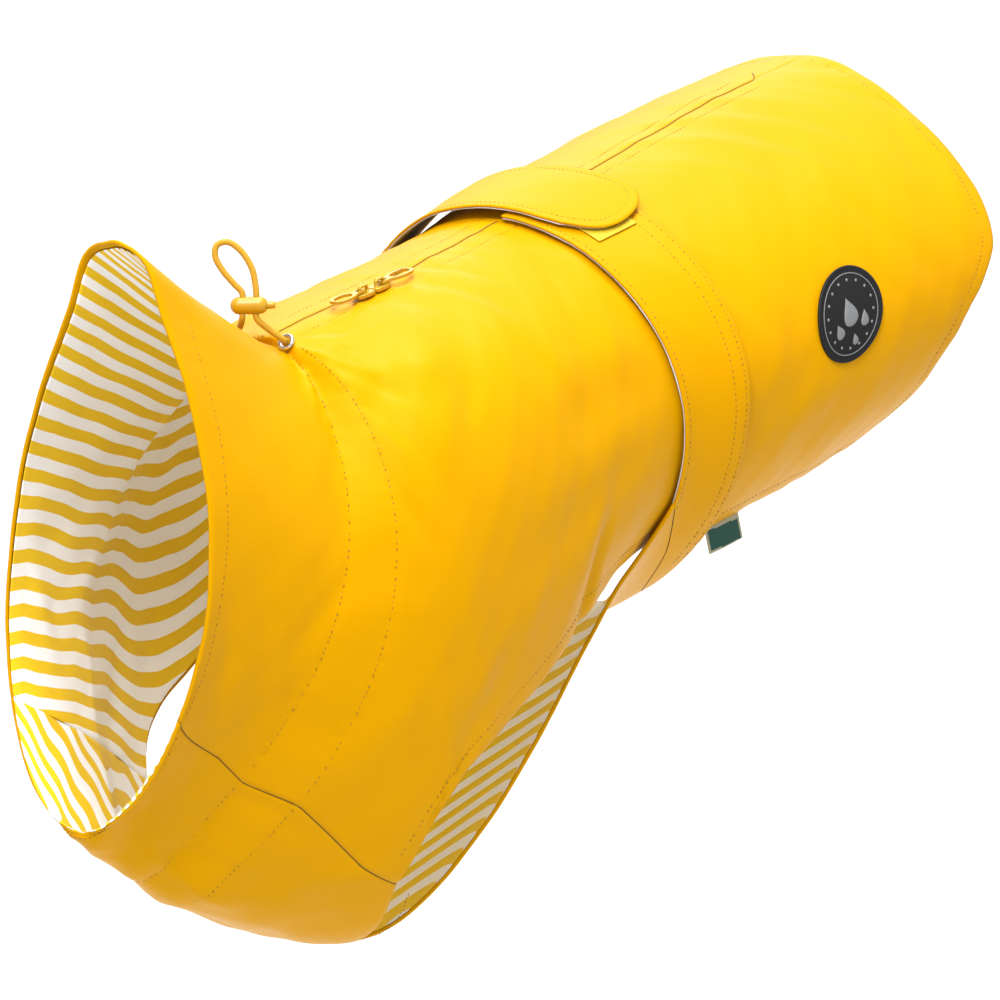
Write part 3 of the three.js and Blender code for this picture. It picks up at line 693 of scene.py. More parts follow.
def coated_cloth(name, light, deep, roughness):
    material, tree, shader = principled(name, Roughness=roughness, Specular_IOR_Level=0.09)
    shader.inputs["Specular Tint"].default_value = (1, 0.78, 0.2, 1)
    place = tree.nodes.new("ShaderNodeTexCoord")
    broad = add_node(tree, "ShaderNodeTexNoise", Scale=9.0, Detail=4.0, Roughness=0.55)
    tree.links.new(place.outputs["Object"], broad.inputs["Vector"])
    colour = mix_colours(tree, broad.outputs["Fac"], light, deep)
    tree.links.new(colour, shader.inputs["Base Color"])
    grain_bump(tree, shader, [[240, 0.10, 0.0006], [2600, 0.16, 0.00012]])
    return material


def striped_lining(name, white, yellow):
    material, tree, shader = principled(name, Roughness=0.85, Specular_IOR_Level=0.2, Sheen_Weight=0.05)
    place = add_node(tree, "ShaderNodeUVMap", uv_map="cloth")
    split = tree.nodes.new("ShaderNodeSeparateXYZ")
    warp = add_node(tree, "ShaderNodeTexNoise", Scale=1.6, Detail=2.0)
    tree.links.new(place.outputs["UV"], split.inputs["Vector"])
    tree.links.new(place.outputs["UV"], warp.inputs["Vector"])
    period = STRIPE_PERIOD * MM * 10
    bend = add_node(tree, "ShaderNodeMath", operation="MULTIPLY_ADD")
    tree.links.new(warp.outputs["Fac"], bend.inputs[0])
    bend.inputs[1].default_value = 0.05
    tree.links.new(split.outputs["Y"], bend.inputs[2])
    scaled = add_node(tree, "ShaderNodeMath", operation="MULTIPLY")
    tree.links.new(bend.outputs[0], scaled.inputs[0])
    scaled.inputs[1].default_value = 2 * math.pi / period
    wave = add_node(tree, "ShaderNodeMath", operation="SINE")
    tree.links.new(scaled.outputs[0], wave.inputs[0])
    edge = add_node(tree, "ShaderNodeMapRange", From_Min=-0.06, From_Max=0.06)
    tree.links.new(wave.outputs[0], edge.inputs["Value"])
    speck = add_node(tree, "ShaderNodeTexNoise", Scale=180.0, Detail=2.0)
    tree.links.new(place.outputs["UV"], speck.inputs["Vector"])
    pale = mix_colours(tree, speck.outputs["Fac"], white, tuple(0.93 * c for c in white))
    rich = mix_colours(tree, speck.outputs["Fac"], yellow, tuple(0.88 * c for c in yellow))
    colour = mix_colours(tree, edge.outputs["Result"], pale, rich)
    tree.links.new(colour, shader.inputs["Base Color"])
    grain_bump(tree, shader, [[1500, 0.25, 0.0002]])
    return material


def plain_material(name, colour, roughness, layers, metallic=0.0, variation=0.85, scale=30.0, **extra):
    material, tree, shader = principled(name, Roughness=roughness, Metallic=metallic, **extra)
    place = tree.nodes.new("ShaderNodeTexCoord")
    noise = add_node(tree, "ShaderNodeTexNoise", Scale=scale, Detail=4.0)
    tree.links.new(place.outputs["Object"], noise.inputs["Vector"])
    mixed = mix_colours(tree, noise.outputs["Fac"], colour, tuple(variation * c for c in colour))
    tree.links.new(mixed, shader.inputs["Base Color"])
    grain_bump(tree, shader, layers)
    return material


cloth = coated_cloth("cloth", (0.57, 0.276, 0.0), (0.54, 0.25, 0.0), 0.4)
belt_cloth = coated_cloth("belt_cloth", (0.57, 0.274, 0.0), (0.54, 0.248, 0.0), 0.44)
lining = striped_lining("striped_lining", (0.88, 0.88, 0.9), (0.8, 0.52, 0.012))
# Painted light: a brighter copy of the striped lining for the belly flap. Its paler whites and yellows stand
# in for light that the flap's inside does not get.
flap_lining_painted_light = striped_lining("striped_lining_flap_painted_light", (0.97, 0.97, 0.98), (0.95, 0.66, 0.02))
belt_back = plain_material("belt_back", (0.55, 0.55, 0.54), 0.85, [[1800, 0.3, 0.0002]])
thread = plain_material("thread", (0.2, 0.1, 0.0), 0.6, [[3000, 0.2, 0.0001]], scale=200)
# Painted shadow: a near-black material for tubes that stand in for the shade in the zip and seam gaps
painted_seam_shadow = plain_material("seam_shadow", (0.035, 0.02, 0.0), 0.85, [[3000, 0.2, 0.0001]], scale=200)
tape = plain_material("zip_tape", (0.16, 0.08, 0.0), 0.8, [[1500, 0.4, 0.0003]])
hook_tape = plain_material("hook_tape", (0.56, 0.4, 0.008), 0.7, [[1800, 0.5, 0.0003]])
rubber = plain_material(
    "black_rubber", (0.008, 0.008, 0.009), 0.6, [[1200, 0.2, 0.0002]], Specular_IOR_Level=0.2,
)
grey_ink = plain_material("raised_grey", (0.16, 0.165, 0.17), 0.5, [[1500, 0.15, 0.0001]])
label_green = plain_material("label_green", (0.004, 0.06, 0.042), 0.75, [[1800, 0.5, 0.0002]])
label_cream = plain_material("label_cream", (0.34, 0.32, 0.2), 0.75, [[1800, 0.5, 0.0002]])
eyelet_metal = plain_material("eyelet_metal", (0.62, 0.62, 0.64), 0.22, [[400, 0.05, 0.0001]], metallic=1.0)
cord_weave = plain_material("cord", (0.5, 0.27, 0.002), 0.7, [[900, 0.5, 0.0006]], scale=300)
lock_plastic = plain_material("lock_plastic", (0.5, 0.27, 0.003), 0.36, [[700, 0.08, 0.0002]])
zip_metal = plain_material("zip_metal", (0.56, 0.34, 0.02), 0.24, [[500, 0.06, 0.0002]], metallic=0.5)


# Cloth pieces
def panel_edges(side):
    leg = softened(spaced(LEG_HEM[side], LEG_ROWS), 6)
    flank = softened(spaced(FLANK_HEM, FLANK_ROWS), 6)
    low = np.concatenate([seam_rows(CHEST_SEAM[side])[:-1], leg, flank[1:]])
    spine = np.concatenate([
        seam_rows([[0, 0], [150, 0]])[:-1, 0], np.linspace(150, 376, LEG_ROWS + 1),
        np.linspace(376, 595, FLANK_ROWS + 1)[1:],
    ])
    rear = softened(spaced(REAR_HEM, PANEL_COLUMNS), 8)
    return np.stack([spine, spine_angle(spine, SEAM_GAP)], 1), low, rear


chest_edge = {}
panels = {}
for name in ("left", "right"):
    spine, low, rear = panel_edges(name)
    panels[name] = grid_between(spine, low, PANEL_COLUMNS, rear)
    chest_edge[name] = seam_rows(CHEST_SEAM[name]) + [0, SEAM_GAP / MM_PER_DEGREE]
other_side = chest_edge["right"] * [1, -1] + [0, 360]
chest_end = softened(spaced(CHEST_HEM, CHEST_COLUMNS), 8)
chest_grid = grid_between(chest_edge["left"], other_side, CHEST_COLUMNS, chest_end)
flap_free = softened(spaced(FLAP_SIDE, 60), 4)
flap_side = joined([flap_free, FLAP_ROWS - BELT_SEAM_ROWS], [BELT_SEAM, BELT_SEAM_ROWS])
flap_grid = grid_between(flap_side, flap_side * [1, -1] + [0, 360], FLAP_COLUMNS)


def smoothstep(x, low, high):
    t = np.clip((x - low) / (high - low), 0, 1)
    return t * t * (3 - 2 * t)


def flap_out(along, angle):
    return BELT_OUT * smoothstep(along, 172, 250)


def wing_grid(front, rear, end, steps):
    seam = spaced(BELT_SEAM, WING_COLUMNS) - [0, 2 * SEAM_GAP / MM_PER_DEGREE]
    front_edge = spaced([seam[0], *front[1:]], steps)
    rear_edge = spaced([seam[-1], *rear[1:]], steps)
    grid = grid_between(front_edge, rear_edge, WING_COLUMNS, spaced(end, WING_COLUMNS))
    t = np.linspace(0, 1, WING_COLUMNS + 1)[:, None]
    straight = seam[0] * (1 - t) + seam[-1] * t
    pull = ((1 - np.linspace(0, 1, steps + 1)) ** 8)[:, None, None]
    return grid + (seam - straight)[None] * pull


def tab_out(along, angle):
    return BELT_OUT + TAB_RISE * smoothstep(-angle, -50, -18)


wing_grids = {
    "left": wing_grid([[326, 104], [326, 2]], [[372, 151], [372, 2]], LEFT_WING_END, WING_ROWS["left"]),
    "right": wing_grid(TAB_FRONT, TAB_REAR, softened(spaced(TAB_END, 60), 6), WING_ROWS["right"]),
}
wing_out = {"left": lambda along, angle: np.full(along.shape, BELT_OUT), "right": tab_out}

# Stitched lines on the back panels and the chest panel
HEM_STITCH = 8.5
CHANNEL_LINES = (82, 94)
BELT_DOUBLE_LINES = (362, 369)
BELT_LEVEL = 1.0
TAB_LEVEL = 2.0
FLAP_LEVEL = 3.0


def arc(along, low, high, step=2.0):
    angles = np.arange(low, high + 0.1, step)
    return np.stack([np.full(len(angles), float(along)), angles], 1)


def beside_spine(low, high, reach, side):
    along = np.linspace(low, high, int((high - low) / 3) + 2)
    return np.stack([along, side * spine_angle(along, reach)], 1)


for side, name in ((1, "left"), (-1, "right")):
    seam = np.array(CHEST_SEAM[name])
    signed = np.array([1, side])
    limit = float(np.interp(9, seam[:, 0], seam[:, 1])) - 1.5
    add_line(arc(9, 3, limit) * signed, groove=0.3, pucker=0.22, period=10)
    for at in CHANNEL_LINES:
        limit = float(np.interp(at, seam[:, 0], seam[:, 1])) - 1.0
        add_line(arc(at, 2, limit) * signed, groove=0.5, width=1.3, pucker=0.34, period=9)
    whole = joined([LEG_HEM[name], 90], [FLANK_HEM, 60])
    rear = spaced(REAR_HEM, 110)
    add_line(inset(softened(whole, 30), -HEM_STITCH)[4:-4] * signed, groove=0.3, pucker=0.2, period=9.5)
    add_line(inset(softened(rear, 30), HEM_STITCH)[3:-4] * signed, groove=0.3, pucker=0.2, period=10)
    add_line(beside_spine(112, 330, 12, side), groove=0.32, pucker=0.12, period=11)
    add_line(beside_spine(368, 534, 9, side), groove=0.32, pucker=0.12, period=11)
    joint = seam * signed - [0, 0.4 * side]
    add_line(joint, groove=0.5, width=0.8, pucker=0.25, period=12, stitched=False)
chest_hem = softened(spaced(CHEST_HEM, 90), 20)
add_line(inset(chest_hem, -HEM_STITCH)[4:-4], groove=0.3, pucker=0.25, period=9.5)
add_line(arc(9, 127, 230), groove=0.3, pucker=0.22, period=10)
for at in CHANNEL_LINES:
    add_line(arc(at, 129.5, 230), groove=0.5, width=1.3, pucker=0.34, period=9)

# Stitched lines on the belt
for side, name in ((1, "left"), (-1, "right")):
    signed = np.array([1, side])
    level = BELT_LEVEL if name == "left" else TAB_LEVEL
    low, high = (14, 106) if name == "left" else (28, 106)
    add_line(arc(329.5, low, high) * signed, groove=0.25, width=1, pucker=0.12, period=9, out=level)
    double_from = low if name == "left" else 52
    for at in BELT_DOUBLE_LINES:
        add_line(arc(at, double_from, 132) * signed, groove=0.25, width=1, pucker=0.14, period=9, out=level)
TAB_STITCH = 4.5
tab_path = [[326.5, 24], [327.6, 6], *TAB_FRONT[4:], *TAB_END[1:], *TAB_REAR[-2:-4:-1], [376, 40]]
tab_edge = inset(softened(spaced(tab_path, 160), 14), TAB_STITCH)[2:-2] * [1, -1]
add_line(tab_edge, groove=0.25, width=1, pucker=0.1, period=8, out=TAB_LEVEL)

rows = len(panels["left"])
below_seam = np.arange(rows) > SEAM_ROWS
shown = {}


def show(node, piece):
    shown[node] = stand_for(piece, node, "coat")


for side, name in ((1, "left"), (-1, "right")):
    grid = panels[name]
    low_hem = np.where(below_seam, HEM_THICK, SEAM_THICK)
    hem = hem_rows(grid, start=HEM_THICK, end=HEM_THICK, first=SEAM_THICK, last=low_hem)
    piece = cloth_piece(f"cloth_back_{name}", grid, 0, SHOWN_CLOTH, cloth, side=side, hem=hem)
    show(f"back_{name}", piece)
    along = grid[:, 0, 0]
    by_tape = (along > ZIP["front"] - TAPE_ROOM["past"]) & (along < ZIP["rear"] + TAPE_ROOM["past"])
    beside = np.where(by_tape, TAPE_ROOM["beside"], TAPE_ROOM["elsewhere"])
    inner = trimmed(grid, start=HEM_FOLD, end=HEM_FOLD, first=beside, last=np.where(below_seam, HEM_FOLD, 0))
    piece = cloth_piece(
        f"cloth_lining_{name}", inner, -LINING_UNDER, SHOWN_LINING, lining, side=side, share=0.9,
        stripe=back_stripe,
    )
    show(f"lining_{name}", piece)

hem = hem_rows(chest_grid, start=HEM_THICK, end=HEM_THICK, first=SEAM_THICK, last=SEAM_THICK)
show("chest_panel", cloth_piece("cloth_chest", chest_grid, 0, SHOWN_CLOTH, cloth, hem=hem))
inner = trimmed(chest_grid, start=HEM_FOLD)
piece = cloth_piece(
    "cloth_lining_chest", inner, -LINING_UNDER, SHOWN_LINING, lining, share=0.9, stripe=chest_stripe,
)
show("lining_chest", piece)
flap_hem = np.where(np.arange(len(flap_grid)) <= FLAP_ROWS - BELT_SEAM_ROWS, HEM_THICK, SEAM_THICK)
hem = hem_rows(flap_grid, end=HEM_THICK, first=flap_hem, last=flap_hem)
piece = cloth_piece(
    "cloth_belly", flap_grid, flap_out, SHOWN_CLOTH, cloth, level=FLAP_LEVEL, hem=hem, share=FLAP_SHARE,
)
show("belly_flap", piece)
# The belly lining uses the brighter painted-light copy of the lining
inner = trimmed(flap_grid, end=HEM_FOLD, first=HEM_FOLD, last=HEM_FOLD)
piece = cloth_piece(
    "cloth_lining_belly", inner, lambda along, angle: flap_out(along, angle) - LINING_UNDER, SHOWN_LINING,
    flap_lining_painted_light, level=FLAP_LEVEL, share=FLAP_SHARE, stripe=flap_stripe,
)
show("lining_belly", piece)
for side, name in ((1, "left"), (-1, "right")):
    grid = wing_grids[name]
    out = wing_out[name]
    level = BELT_LEVEL if name == "left" else TAB_LEVEL
    hem = hem_rows(grid, start=SEAM_THICK, end=BELT_HEM, first=BELT_HEM, last=BELT_HEM)
    piece = cloth_piece(
        f"cloth_belt_{name}", grid, out, SHOWN_CLOTH, belt_cloth, side=side, level=level, hem=hem,
        share=BELT_SHARE,
    )
    show(f"belt_{name}", piece)
    inner = trimmed(grid, end=0.6)
    run = np.linspace(0, 1, len(inner))
    inner[:, 0, 0] -= 0.12 + 0.6 * np.clip(np.sin(19 * run + 1) * np.sin(7 * run), -0.2, 1)
    under = lambda along, angle, out=out: out(along, angle) - BACKING_UNDER
    piece = cloth_piece(
        f"cloth_lining_belt_{name}", inner, under, SHOWN_LINING, belt_back, side=side, level=level,
        share=BELT_SHARE,
    )
    show(f"lining_belt_{name}", piece)

# Fastening strip under the tab's end, its face close rows of hooks
strip_grid = grid_between(
    spaced([[HOOK_STRIP["front"], HOOK_STRIP["low"]], [HOOK_STRIP["front"], HOOK_STRIP["high"]]], 72),
    spaced([[HOOK_STRIP["rear"], HOOK_STRIP["low"]], [HOOK_STRIP["rear"], HOOK_STRIP["high"]]], 72),
    30,
)
ribs = HOOK_STRIP["rib"] * np.sin(np.arange(73) * math.pi / 2)[:, None] + 0 * strip_grid[..., 0]
strip_rise = BELT_OUT + SEAM_GAP + HOOK_STRIP["thick"] - 0.2 + ribs
strip_outer = coat_point(strip_grid[..., 0], strip_grid[..., 1], strip_rise)
strip_inner = coat_point(strip_grid[..., 0], strip_grid[..., 1], BELT_OUT + SEAM_GAP + 0.1)
points, faces, _ = shell(strip_outer, strip_inner)
show("fastening_strip", new_object("hook_strip", points, faces, hook_tape))

# Zip tape with its closed teeth under the spine gap
tape_along = np.linspace(ZIP["front"], ZIP["rear"], 200)
tape_across = np.linspace(-1, 1, 13)
tape_angle = spine_angle(tape_along, ZIP["tapeHalf"])[:, None] * tape_across[None]
tape_places = np.broadcast_to(tape_along[:, None], tape_angle.shape)
tooth = ZIP["tooth"] * (np.abs(tape_across) < ZIP["toothHalf"])[None] * (np.arange(200) % 2)[:, None]
tape_outer = coat_point(tape_places, tape_angle, tooth - ZIP["under"])
tape_inner = coat_point(tape_places, tape_angle, -ZIP["under"] - ZIP["thick"])
points, faces, _ = shell(tape_outer, tape_inner)
show("zip_tape", new_object("zip_tape_shown", points, faces, tape))


# Stitches: short rounded threads laid along each stitched line
STITCH = {"long": 1.7, "gap": 1.0, "half": 0.23, "rise": 0.05}


def level_height(level, along, angle):
    if level == BELT_LEVEL:
        return np.full(along.shape, BELT_OUT), BELT_SHARE
    if level == TAB_LEVEL:
        return tab_out(along, -angle), BELT_SHARE
    if level == FLAP_LEVEL:
        return flap_out(along, angle), FLAP_SHARE
    return np.zeros(along.shape), 1.0


def line_frame(along, angle, level, lift):
    """A line's points on the cloth, and the directions across it and out of the cloth"""
    base, share = level_height(level, along, angle)
    centre = coat_point(along, angle, base + detail(along, angle, level, share) + lift)
    normal = form_normal(along, angle)
    run = np.gradient(centre, axis=0)
    run /= np.linalg.norm(run, axis=1, keepdims=True)
    return centre, np.cross(run, normal), normal


def stitch_mesh(name, chosen):
    points, faces = [], []
    sides = 6
    for line in chosen:
        total = line["reach"][-1]
        step = STITCH["long"] + STITCH["gap"]
        starts = np.arange(1.0, total - STITCH["long"], step)
        for start in starts:
            at = start + np.array([0.0, 0.25, 0.5, 0.75, 1.0]) * STITCH["long"]
            along = np.interp(at, line["reach"], line["edge"][:, 0])
            angle = np.interp(at, line["reach"], line["edge"][:, 1])
            centre, across, normal = line_frame(along, angle, line["out"], STITCH["rise"])
            sizes = STITCH["half"] * np.array([0.35, 0.95, 1.05, 0.95, 0.35])
            sink = np.array([-0.28, -0.02, 0.06, -0.02, -0.28])
            first = len(points)
            for ring in range(5):
                for k in range(sides):
                    turn = 2 * math.pi * k / sides
                    offset = across[ring] * math.cos(turn) + normal[ring] * (math.sin(turn) * 0.8)
                    points.append(centre[ring] + offset * sizes[ring] + normal[ring] * sink[ring])
            faces += tube_faces(5, sides, first)
    return new_object(name, points, outward_faces(points, faces), thread)


for group, level_test in (
    ("body", lambda level: level in (0.0, FLAP_LEVEL)),
    ("belt", lambda level: level in (BELT_LEVEL, TAB_LEVEL)),
):
    chosen = [line for line in lines if line["stitched"] and level_test(line["out"])]
    piece = stitch_mesh(f"stitches_{group}", chosen)
    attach(piece, "coat")


# Painted shadow: thin dark lines laid in the gaps where two pieces meet, standing in for the shade inside
# each gap
def seam_tube(name, edge, level, half, sink):
    """A thin round line laid along an edge of [along, angle], sunk a little in the cloth"""
    points = form_point(edge[:, 0], edge[:, 1])
    reach = path_reach(points)
    at = np.linspace(0, reach[-1], int(reach[-1] / 1.5) + 2)
    along, angle = np.interp(at, reach, edge[:, 0]), np.interp(at, reach, edge[:, 1])
    centre, across, normal = line_frame(along, angle, level, -sink)
    sides = 6
    turns = 2 * math.pi * np.arange(sides)[None, :, None] / sides
    ring = across[:, None] * np.cos(turns) + normal[:, None] * np.sin(turns)
    tube = (centre[:, None] + ring * half).reshape(-1, 3)
    faces = outward_faces(tube, tube_faces(len(at), sides))
    piece = new_object(name, tube, faces, painted_seam_shadow)
    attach(piece, "coat")


seam_tube("zip_line_front", np.array([[110.0, 0.0], [220, 0], [326, 0]]), 0.0, 0.48, 0.2)
seam_tube("zip_line_rear", np.array([[380.0, 0.0], [460, 0], [534, 0]]), 0.0, 0.48, 0.2)
seam_tube("zip_end", np.array([[534.0, 0.3], [541, 0.2], [546, -1.4], [552, -4]]), 0.0, 0.35, 0.1)
for side, name in ((1, "left"), (-1, "right")):
    edge = np.array(CHEST_SEAM[name]) * [1, side] + [0, 0.08 * side]
    seam_tube(f"chest_seam_{name}", edge, 0.0, 0.34, 0.2)
    edge = (spaced(BELT_SEAM, 30) - [0, SEAM_GAP / MM_PER_DEGREE]) * [1, side]
    seam_tube(f"belt_seam_{name}", edge[1:-1], FLAP_LEVEL, 0.32, 0.15)


# Round patch: a black badge with a pale ring and plain raised drops
def patch_scales():
    at = np.array([PATCH["along"]], float)
    angle = np.array([PATCH["angle"]], float)
    down = np.linalg.norm(form_point(at + 1, angle) - form_point(at - 1, angle)) / 2
    round_ = np.linalg.norm(form_point(at, angle + 1) - form_point(at, angle - 1)) / 2
    return down, round_


def patch_point(x, y, out):
    """x runs towards the tail and y towards the spine, both in mm from the badge's centre"""
    down, round_ = patch_scales()
    x, y, out = np.broadcast_arrays(np.asarray(x, float), np.asarray(y, float), np.asarray(out, float))
    return coat_point(PATCH["along"] + x / down, PATCH["angle"] - y / round_, out)


def patch_sheet(name, x, y, top, base, material):
    """A raised form over rings of x, y points that close on themselves"""
    rings, steps = x.shape
    points = patch_point(x, y, top).reshape(-1, 3)
    under = patch_point(x[-1], y[-1], base)
    points = np.concatenate([points, under])
    return new_object(name, points, outward_faces(points, tube_faces(rings + 1, steps)), material)


turns = np.linspace(0, 2 * math.pi, 96, endpoint=False)
PATCH_PROFILE = [
    # radius, height over the cloth
    (1.0, 1.15), (8, 1.15), (14, 1.15), (19, 1.15), (21.2, 1.15), (21.6, 1.5), (22.4, 1.62), (22.9, 1.45),
    (23.0, 1.0),
]
radii = np.array([row[0] for row in PATCH_PROFILE])[:, None]
heights = np.array([row[1] for row in PATCH_PROFILE])[:, None] + 0 * turns[None]
badge = patch_sheet("badge", radii * np.cos(turns), radii * np.sin(turns), heights, PATCH["lift"], rubber)
stand_for(badge, "round_patch", "coat")


def ring_relief(name, inner, outer, high):
    profile = [(inner, 1.1), (inner + 0.15, high), (outer - 0.15, high), (outer, 1.1)]
    rings = [patch_point(radius * np.cos(turns), radius * np.sin(turns), high) for radius, high in profile]
    points = np.concatenate(rings)
    faces = outward_faces(points, torus_faces(len(profile), len(turns)))
    return new_object(name, points, faces, grey_ink)


def drop_relief(name, x, y, size, lean):
    t = np.linspace(0, 2 * math.pi, 48, endpoint=False)
    shape_x = np.sin(t) * np.sin(t / 2) ** 1.6
    shape_y = np.cos(t)
    turn_x = shape_x * math.cos(lean) - shape_y * math.sin(lean)
    turn_y = shape_y * math.cos(lean) + shape_x * math.sin(lean)
    scale = np.array([0.1, 0.5, 0.8, 0.94, 1.0])[:, None] * size
    top = np.array([1.62, 1.6, 1.5, 1.38, 1.2])[:, None] + 0 * t
    return patch_sheet(name, x + scale * turn_x, y + scale * turn_y, top, 1.0, grey_ink)


DROPS = [
    # x, y, size, lean
    (-0.5, 1.5, 7.2, 0.12), (-9.2, -5.4, 4.0, 0.3), (9.0, -5.0, 4.0, -0.1), (0.8, -12.6, 2.9, 0.1),
]
reliefs = [ring_relief("badge_ring", 19.0, 19.6, 1.42)]
for i, (x, y, size, lean) in enumerate(DROPS):
    reliefs.append(drop_relief(f"badge_drop_{i + 1}", x, y, size, lean))
DOTS = {"count": 16, "reach": 16.2, "radius": 0.75}
for i in range(DOTS["count"]):
    turn = 2 * math.pi * (i + 0.5) / DOTS["count"]
    t = np.linspace(0, 2 * math.pi, 12, endpoint=False)
    scale = np.array([0.2, 0.7, 1.0])[:, None] * DOTS["radius"]
    x = DOTS["reach"] * math.cos(turn) + scale * np.cos(t)
    y = DOTS["reach"] * math.sin(turn) + scale * np.sin(t)
    top = np.array([1.5, 1.45, 1.2])[:, None] + 0 * t
    reliefs.append(patch_sheet(f"badge_dot_{i + 1}", x, y, top, 1.0, grey_ink))
for piece in reliefs:
    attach(piece, "coat")


# Folded side label: green with a cream border
def label_piece():
    columns, rows = 40, 22
    along = np.linspace(LABEL["from"], LABEL["to"], columns)
    hem = np.array(FLANK_HEM)
    hem_angle = np.interp(along, hem[:, 0], hem[:, 1])
    top_outer = coat_point(along, hem_angle, LABEL["thick"] - LABEL["cloth"])
    top_inner = coat_point(along, hem_angle, -LABEL["cloth"])
    t = np.linspace(0, 1, rows)[:, None, None]
    curl = 0.5 * np.sin(np.linspace(0, math.pi, columns))[None, :, None] * t
    drop = np.array([0, -LABEL["lean"], -1.0]) * LABEL["drop"] * t
    start = np.array([0, 0, -LABEL["clear"]])
    outer = top_outer[None] + start + drop + curl * np.array([0, -1.0, 0])
    inner = top_inner[None] + start + drop + curl * np.array([0, -1.0, 0])
    points, faces, _ = shell(outer, inner, 0.3)
    obj = new_object("side_label_shown", points, faces, label_green)
    obj.data.materials.append(label_cream)
    border_u, border_v = 0.055, 0.1
    for polygon in obj.data.polygons:
        corners = [obj.data.vertices[v].co for v in polygon.vertices]
        centre = sum(corners, Vector()) / len(corners) / MM
        u = (centre.x - outer[0, 0, 0]) / (outer[0, -1, 0] - outer[0, 0, 0])
        v = (outer[0, 0, 2] - centre.z) / LABEL["drop"]
        edge = min(u, 1 - u) < border_u or v > 1 - border_v or v < border_v
        polygon.material_index = 1 if edge else 0
    return obj


label = label_piece()
stand_for(label, "side_label", "coat")


# Hard pieces
def frame_matrix(point, direction):
    turn = Vector((0, 1, 0)).rotation_difference(Vector(direction).normalized())
    return Matrix.Translation(Vector(point)) @ turn.to_matrix().to_4x4()


def eyelet_seat(eyelet, rise=0.0):
    angle = eyelet["angle"]
    ahead, behind = (coat_point(np.array([eyelet[key]], float), angle, 0)[0] for key in ("front", "rear"))
    rear = np.array([eyelet["rear"]], float)
    across = coat_point(rear, angle + 5, 0)[0] - coat_point(rear, angle - 5, 0)[0]
    facing = np.cross(across, behind - ahead)
    facing /= np.linalg.norm(facing)
    return (ahead + behind) / 2 + facing * (eyelet["lift"] + rise), facing


def eyelet_piece(eyelet):
    point, facing = eyelet_seat(eyelet)
    inner, outer, high = EYELET["inner"], EYELET["outer"], EYELET["high"]
    middle, half = (inner + outer) / 2, (outer - inner) / 2
    profile = [(outer, 0.0)]
    for step in range(9):
        turn = math.pi * step / 8
        profile.append((middle + half * math.cos(turn), 0.15 + (high - 0.15) * math.sin(turn) ** 0.8))
    profile.append((inner, 0.0))
    matrix = frame_matrix(point, facing)
    steps = 48
    points = []
    for k in range(steps):
        turn = 2 * math.pi * k / steps
        for radius, height in profile:
            spot = Vector((radius * math.cos(turn), height, radius * math.sin(turn)))
            points.append(tuple(matrix @ spot))
    faces = outward_faces(points, torus_faces(steps, len(profile)))
    return new_object(f"eyelet_{eyelet['name']}_shown", points, faces, eyelet_metal)


for eyelet in EYELETS:
    piece = eyelet_piece(eyelet)
    stand_for(piece, f"eyelet_{eyelet['name']}", "coat")


# The drawstring's line, through the same points as its solid
def smooth_line(points, samples):
    points = [np.array(p, float) for p in points]
    points = [2 * points[0] - points[1], *points, 2 * points[-1] - points[-2]]
    line = []
    for i in range(1, len(points) - 2):
        p0, p1, p2, p3 = points[i - 1:i + 3]
        d0, d1, d2 = (max(np.linalg.norm(b - a) ** 0.5, 1e-4) for a, b in ((p0, p1), (p1, p2), (p2, p3)))
        leave = ((p1 - p0) / d0 - (p2 - p0) / (d0 + d1) + (p2 - p1) / d1) * d1
        arrive = ((p2 - p1) / d1 - (p3 - p1) / (d1 + d2) + (p3 - p2) / d2) * d1
        for t in np.linspace(0, 1, samples, endpoint=False):
            ease = 3 * t**2 - 2 * t**3
            line.append(p1 + (p2 - p1) * ease + leave * (t**3 - 2 * t**2 + t) + arrive * (t**3 - t**2))
    line.append(points[-2])
    return np.array(line)


ends = [[eyelet_seat(eyelet, rise)[0] for rise in (0.2, 2.6)] for eyelet in EYELETS]
middle = [np.array(p, float) + [0, 0, BACK_HEIGHT] for p in CORD_ROUTE]
cord_line = smooth_line([*ends[0], *middle, *ends[1][::-1]], 8) * MM
curve = bpy.data.curves.new("drawstring_shown", "CURVE")
curve.dimensions = "3D"
curve.bevel_depth = CORD_WIDE * MM / 2
curve.bevel_resolution = 4
curve.use_fill_caps = True
spline = curve.splines.new("POLY")
spline.points.add(len(cord_line) - 1)
for point, place in zip(spline.points, cord_line):
    point.co = (*place, 1)
curve.materials.append(cord_weave)
cord = linked("drawstring_shown", curve)
stand_for(cord, "drawstring", "coat")


def capsule(radius, length, rings, steps):
    points, profile = [], []
    for k in range(rings + 1):
        turn = math.pi / 2 * k / rings
        profile.append((radius * math.sin(turn), -length / 2 - radius * math.cos(turn)))
    for k in range(rings + 1):
        turn = math.pi / 2 * k / rings
        profile.append((radius * math.cos(turn), length / 2 + radius * math.sin(turn)))
    profile = profile[1:-1]
    for r, h in profile:
        for k in range(steps):
            turn = 2 * math.pi * k / steps
            points.append((r * math.cos(turn), h, r * math.sin(turn)))
    return points, outward_faces(points, tube_faces(len(profile), steps))


def applied(obj):
    """The object's mesh with its modifiers made real"""
    bpy.context.view_layer.update()
    evaluated = obj.evaluated_get(bpy.context.evaluated_depsgraph_get())
    mesh = bpy.data.meshes.new_from_object(evaluated)
    obj.modifiers.clear()
    obj.data = mesh
    return obj


def bevelled(obj, width, segments, degrees):
    edge = obj.modifiers.new("edge", "BEVEL")
    edge.width = width * MM
    edge.segments = segments
    edge.limit_method = "ANGLE"
    edge.angle_limit = math.radians(degrees)
    return applied(obj)


